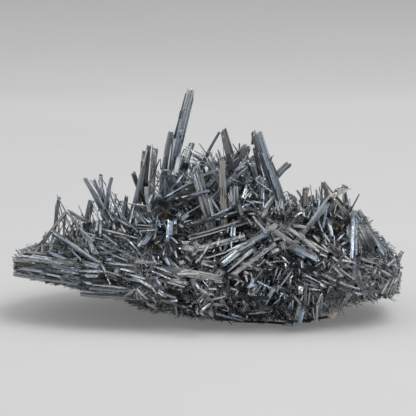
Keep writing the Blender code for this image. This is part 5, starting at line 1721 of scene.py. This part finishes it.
class SPRAY_OT_quartz(bpy.types.Operator):
    """Make the grain of quartz"""

    bl_idname = "spray.quartz"
    bl_label = "Quartz Grain"

    def execute(self, context):
        form = bmesh.new()
        form.from_mesh(frame["nodes"]["quartz_grain"].data)
        bmesh.ops.remove_doubles(form, verts=form.verts, dist=WELD)
        bmesh.ops.subdivide_edges(form, edges=form.edges, cuts=2, use_grid_fill=True)
        form.normal_update()
        for vert in form.verts:
            vert.co += vert.normal * noise.noise(vert.co / MM * 1.3) * 0.25 * MM
        bmesh.ops.recalc_face_normals(form, faces=form.faces)
        mesh = mesh_of(form, "quartz_chip")
        add_piece("quartz_chip", mesh, quartz(), "quartz", "quartz_grain")
        return {"FINISHED"}


def add_stage_floor(stage):
    """A floor that curves up into a backdrop, see-through from underneath."""
    start, radius = stage.depth, stage.curve
    profile = [(FLOOR_FRONT, 0.0), (start, 0.0)]
    for step in range(1, CURVE_STEPS + 1):
        turn = math.radians(90) * step / CURVE_STEPS
        profile.append((start + radius * math.sin(turn), radius * (1 - math.cos(turn))))
    profile.append((start + radius, BACKDROP_TOP))
    form = bmesh.new()
    rows = [[form.verts.new((x, y, z)) for x in (-FLOOR_HALF_WIDTH, FLOOR_HALF_WIDTH)] for y, z in profile]
    for near, far in zip(rows, rows[1:]):
        form.faces.new((near[0], near[1], far[1], far[0])).smooth = True
    form.normal_update()
    mesh = mesh_of(form, "backdrop")
    made, wiring, shader = new_material("backdrop")
    place = wiring.add("ShaderNodeTexCoord", output="Object")
    dim = [value * PAPER_DIMNESS for value in stage.floor]
    base = ramp(wiring, wiring.noise(place, PAPER_SCALE, 3.0), (0.35, dim), (0.65, tuple(stage.floor)))
    back = wiring.part(place, "Y")
    # Painted light: the floor is painted paler towards the back and the backdrop darker towards its top, as
    # the light falls off
    paler = wiring.mapped(back, *PALER_ALONG, 0.95, 1.1)
    fade = wiring.times(paler, wiring.mapped(back, *DARKER_ALONG, 1.0, stage.fade))
    wiring.fill(shader, {
        "Base Color": wiring.scaled(base, fade),
        "Roughness": 0.9,
        "Specular IOR Level": 0.2,
        # Painted light: the paper glows by itself, which lifts the shadows under the spray
        "Emission Color": (*stage.floor, 1.0),
        "Emission Strength": stage.painted_glow})
    under = wiring.add("ShaderNodeNewGeometry", output="Backfacing")
    clear = wiring.add("ShaderNodeBsdfTransparent")
    mixed = wiring.add("ShaderNodeMixShader", {0: under, 1: shader.outputs["BSDF"], 2: clear})
    output = next(n for n in wiring.tree.nodes if n.type == "OUTPUT_MATERIAL")
    wiring.fill(output, {"Surface": mixed})
    mesh.materials.append(made)
    floor = add_object("backdrop", mesh)


def add_lamp(name, power, width, at, aim):
    lamp = bpy.data.lights.new(name, "AREA")
    lamp.energy, lamp.size = power, width
    holder = add_object(name, lamp)
    holder.location = at
    holder.rotation_euler = (Vector(aim) - Vector(at)).to_track_quat("-Z", "Y").to_euler()


class SPRAY_OT_stage(bpy.types.Operator):
    """Set up the floor, the lights and the camera"""

    bl_idname = "spray.stage"
    bl_label = "Stage"

    def execute(self, context):
        stage = context.scene.spray_stage
        add_stage_floor(stage)
        lamp_place = (stage.lamp_right, stage.lamp_back, stage.lamp_height)
        add_lamp("overhead", stage.lamp_power, stage.lamp_width, lamp_place, (0, 0, 0))
        world = bpy.data.worlds.new("studio")
        world.use_nodes = True
        wiring = Wiring(world.node_tree)
        direction = wiring.add("ShaderNodeTexCoord")
        sides = ramp(wiring, wiring.mapped(wiring.part(direction, "Y"), -1.0, 1.0),
                     (0.1, (stage.room,) * 3), (0.45, (stage.horizon,) * 3), (0.9, (stage.horizon,) * 3))
        overhead = wiring.mapped(wiring.part(direction, "Z"), 0.1, 0.8)
        light = wiring.tinted(sides, (stage.zenith,) * 3, overhead)
        wiring.fill(world.node_tree.nodes["Background"], {"Color": light})
        context.scene.world = world
        context.scene.view_settings.view_transform = "Standard"
        lens = bpy.data.cameras.new("camera")
        lens.sensor_fit = "HORIZONTAL"
        lens.lens = lens.sensor_width * stage.camera_distance / stage.camera_span
        lens.clip_start = 0.01
        camera = add_object("camera", lens)
        tilt = stage.camera_elevation
        aim = Vector((0, 0, stage.camera_height))
        away = Vector((0, -math.cos(tilt), math.sin(tilt)))
        camera.location = aim + away * stage.camera_distance
        camera.rotation_euler = (-away).to_track_quat("-Z", "Y").to_euler()
        context.scene.camera = camera
        return {"FINISHED"}


OPERATORS = (SPRAY_OT_stage, SPRAY_OT_core, SPRAY_OT_plates, SPRAY_OT_laths, SPRAY_OT_needles,
             SPRAY_OT_druse, SPRAY_OT_blades, SPRAY_OT_tufts, SPRAY_OT_slivers, SPRAY_OT_quartz)
SETTINGS = {
    "spray_finish": FinishSettings,
    "spray_ground": GroundSettings,
    "spray_plates": PlateSettings,
    "spray_laths": LathSettings,
    "spray_needles": NeedleSettings,
    "spray_druse": DruseSettings,
    "spray_stage": StageSettings,
}


class SPRAY_PT_panel(bpy.types.Panel):
    """The crystal spray's sizes, colours and steps"""

    bl_label = "Crystal Spray"
    bl_idname = "SPRAY_PT_panel"
    bl_space_type = "VIEW_3D"
    bl_region_type = "UI"
    bl_category = "Crystal Spray"

    def draw(self, context):
        for operator in OPERATORS:
            self.layout.operator(operator.bl_idname)
        for name, settings in SETTINGS.items():
            box = self.layout.box()
            box.label(text=settings.__doc__)
            for prop in settings.__annotations__:
                box.prop(getattr(context.scene, name), prop)


def register():
    for name, settings in SETTINGS.items():
        bpy.utils.register_class(settings)
        setattr(bpy.types.Scene, name, PointerProperty(type=settings))
    for shown in (*OPERATORS, SPRAY_PT_panel):
        bpy.utils.register_class(shown)


def unregister():
    for shown in (SPRAY_PT_panel, *reversed(OPERATORS)):
        bpy.utils.unregister_class(shown)
    for name, settings in SETTINGS.items():
        delattr(bpy.types.Scene, name)
        bpy.utils.unregister_class(settings)


def main():
    register()
    bpy.ops.spray.stage()
    bpy.ops.spray.core()
    bpy.ops.spray.plates()
    bpy.ops.spray.laths()
    bpy.ops.spray.needles()
    bpy.ops.spray.druse()
    bpy.ops.spray.blades()
    bpy.ops.spray.tufts()
    bpy.ops.spray.slivers()
    bpy.ops.spray.quartz()


if __name__ == "__main__":
    main()
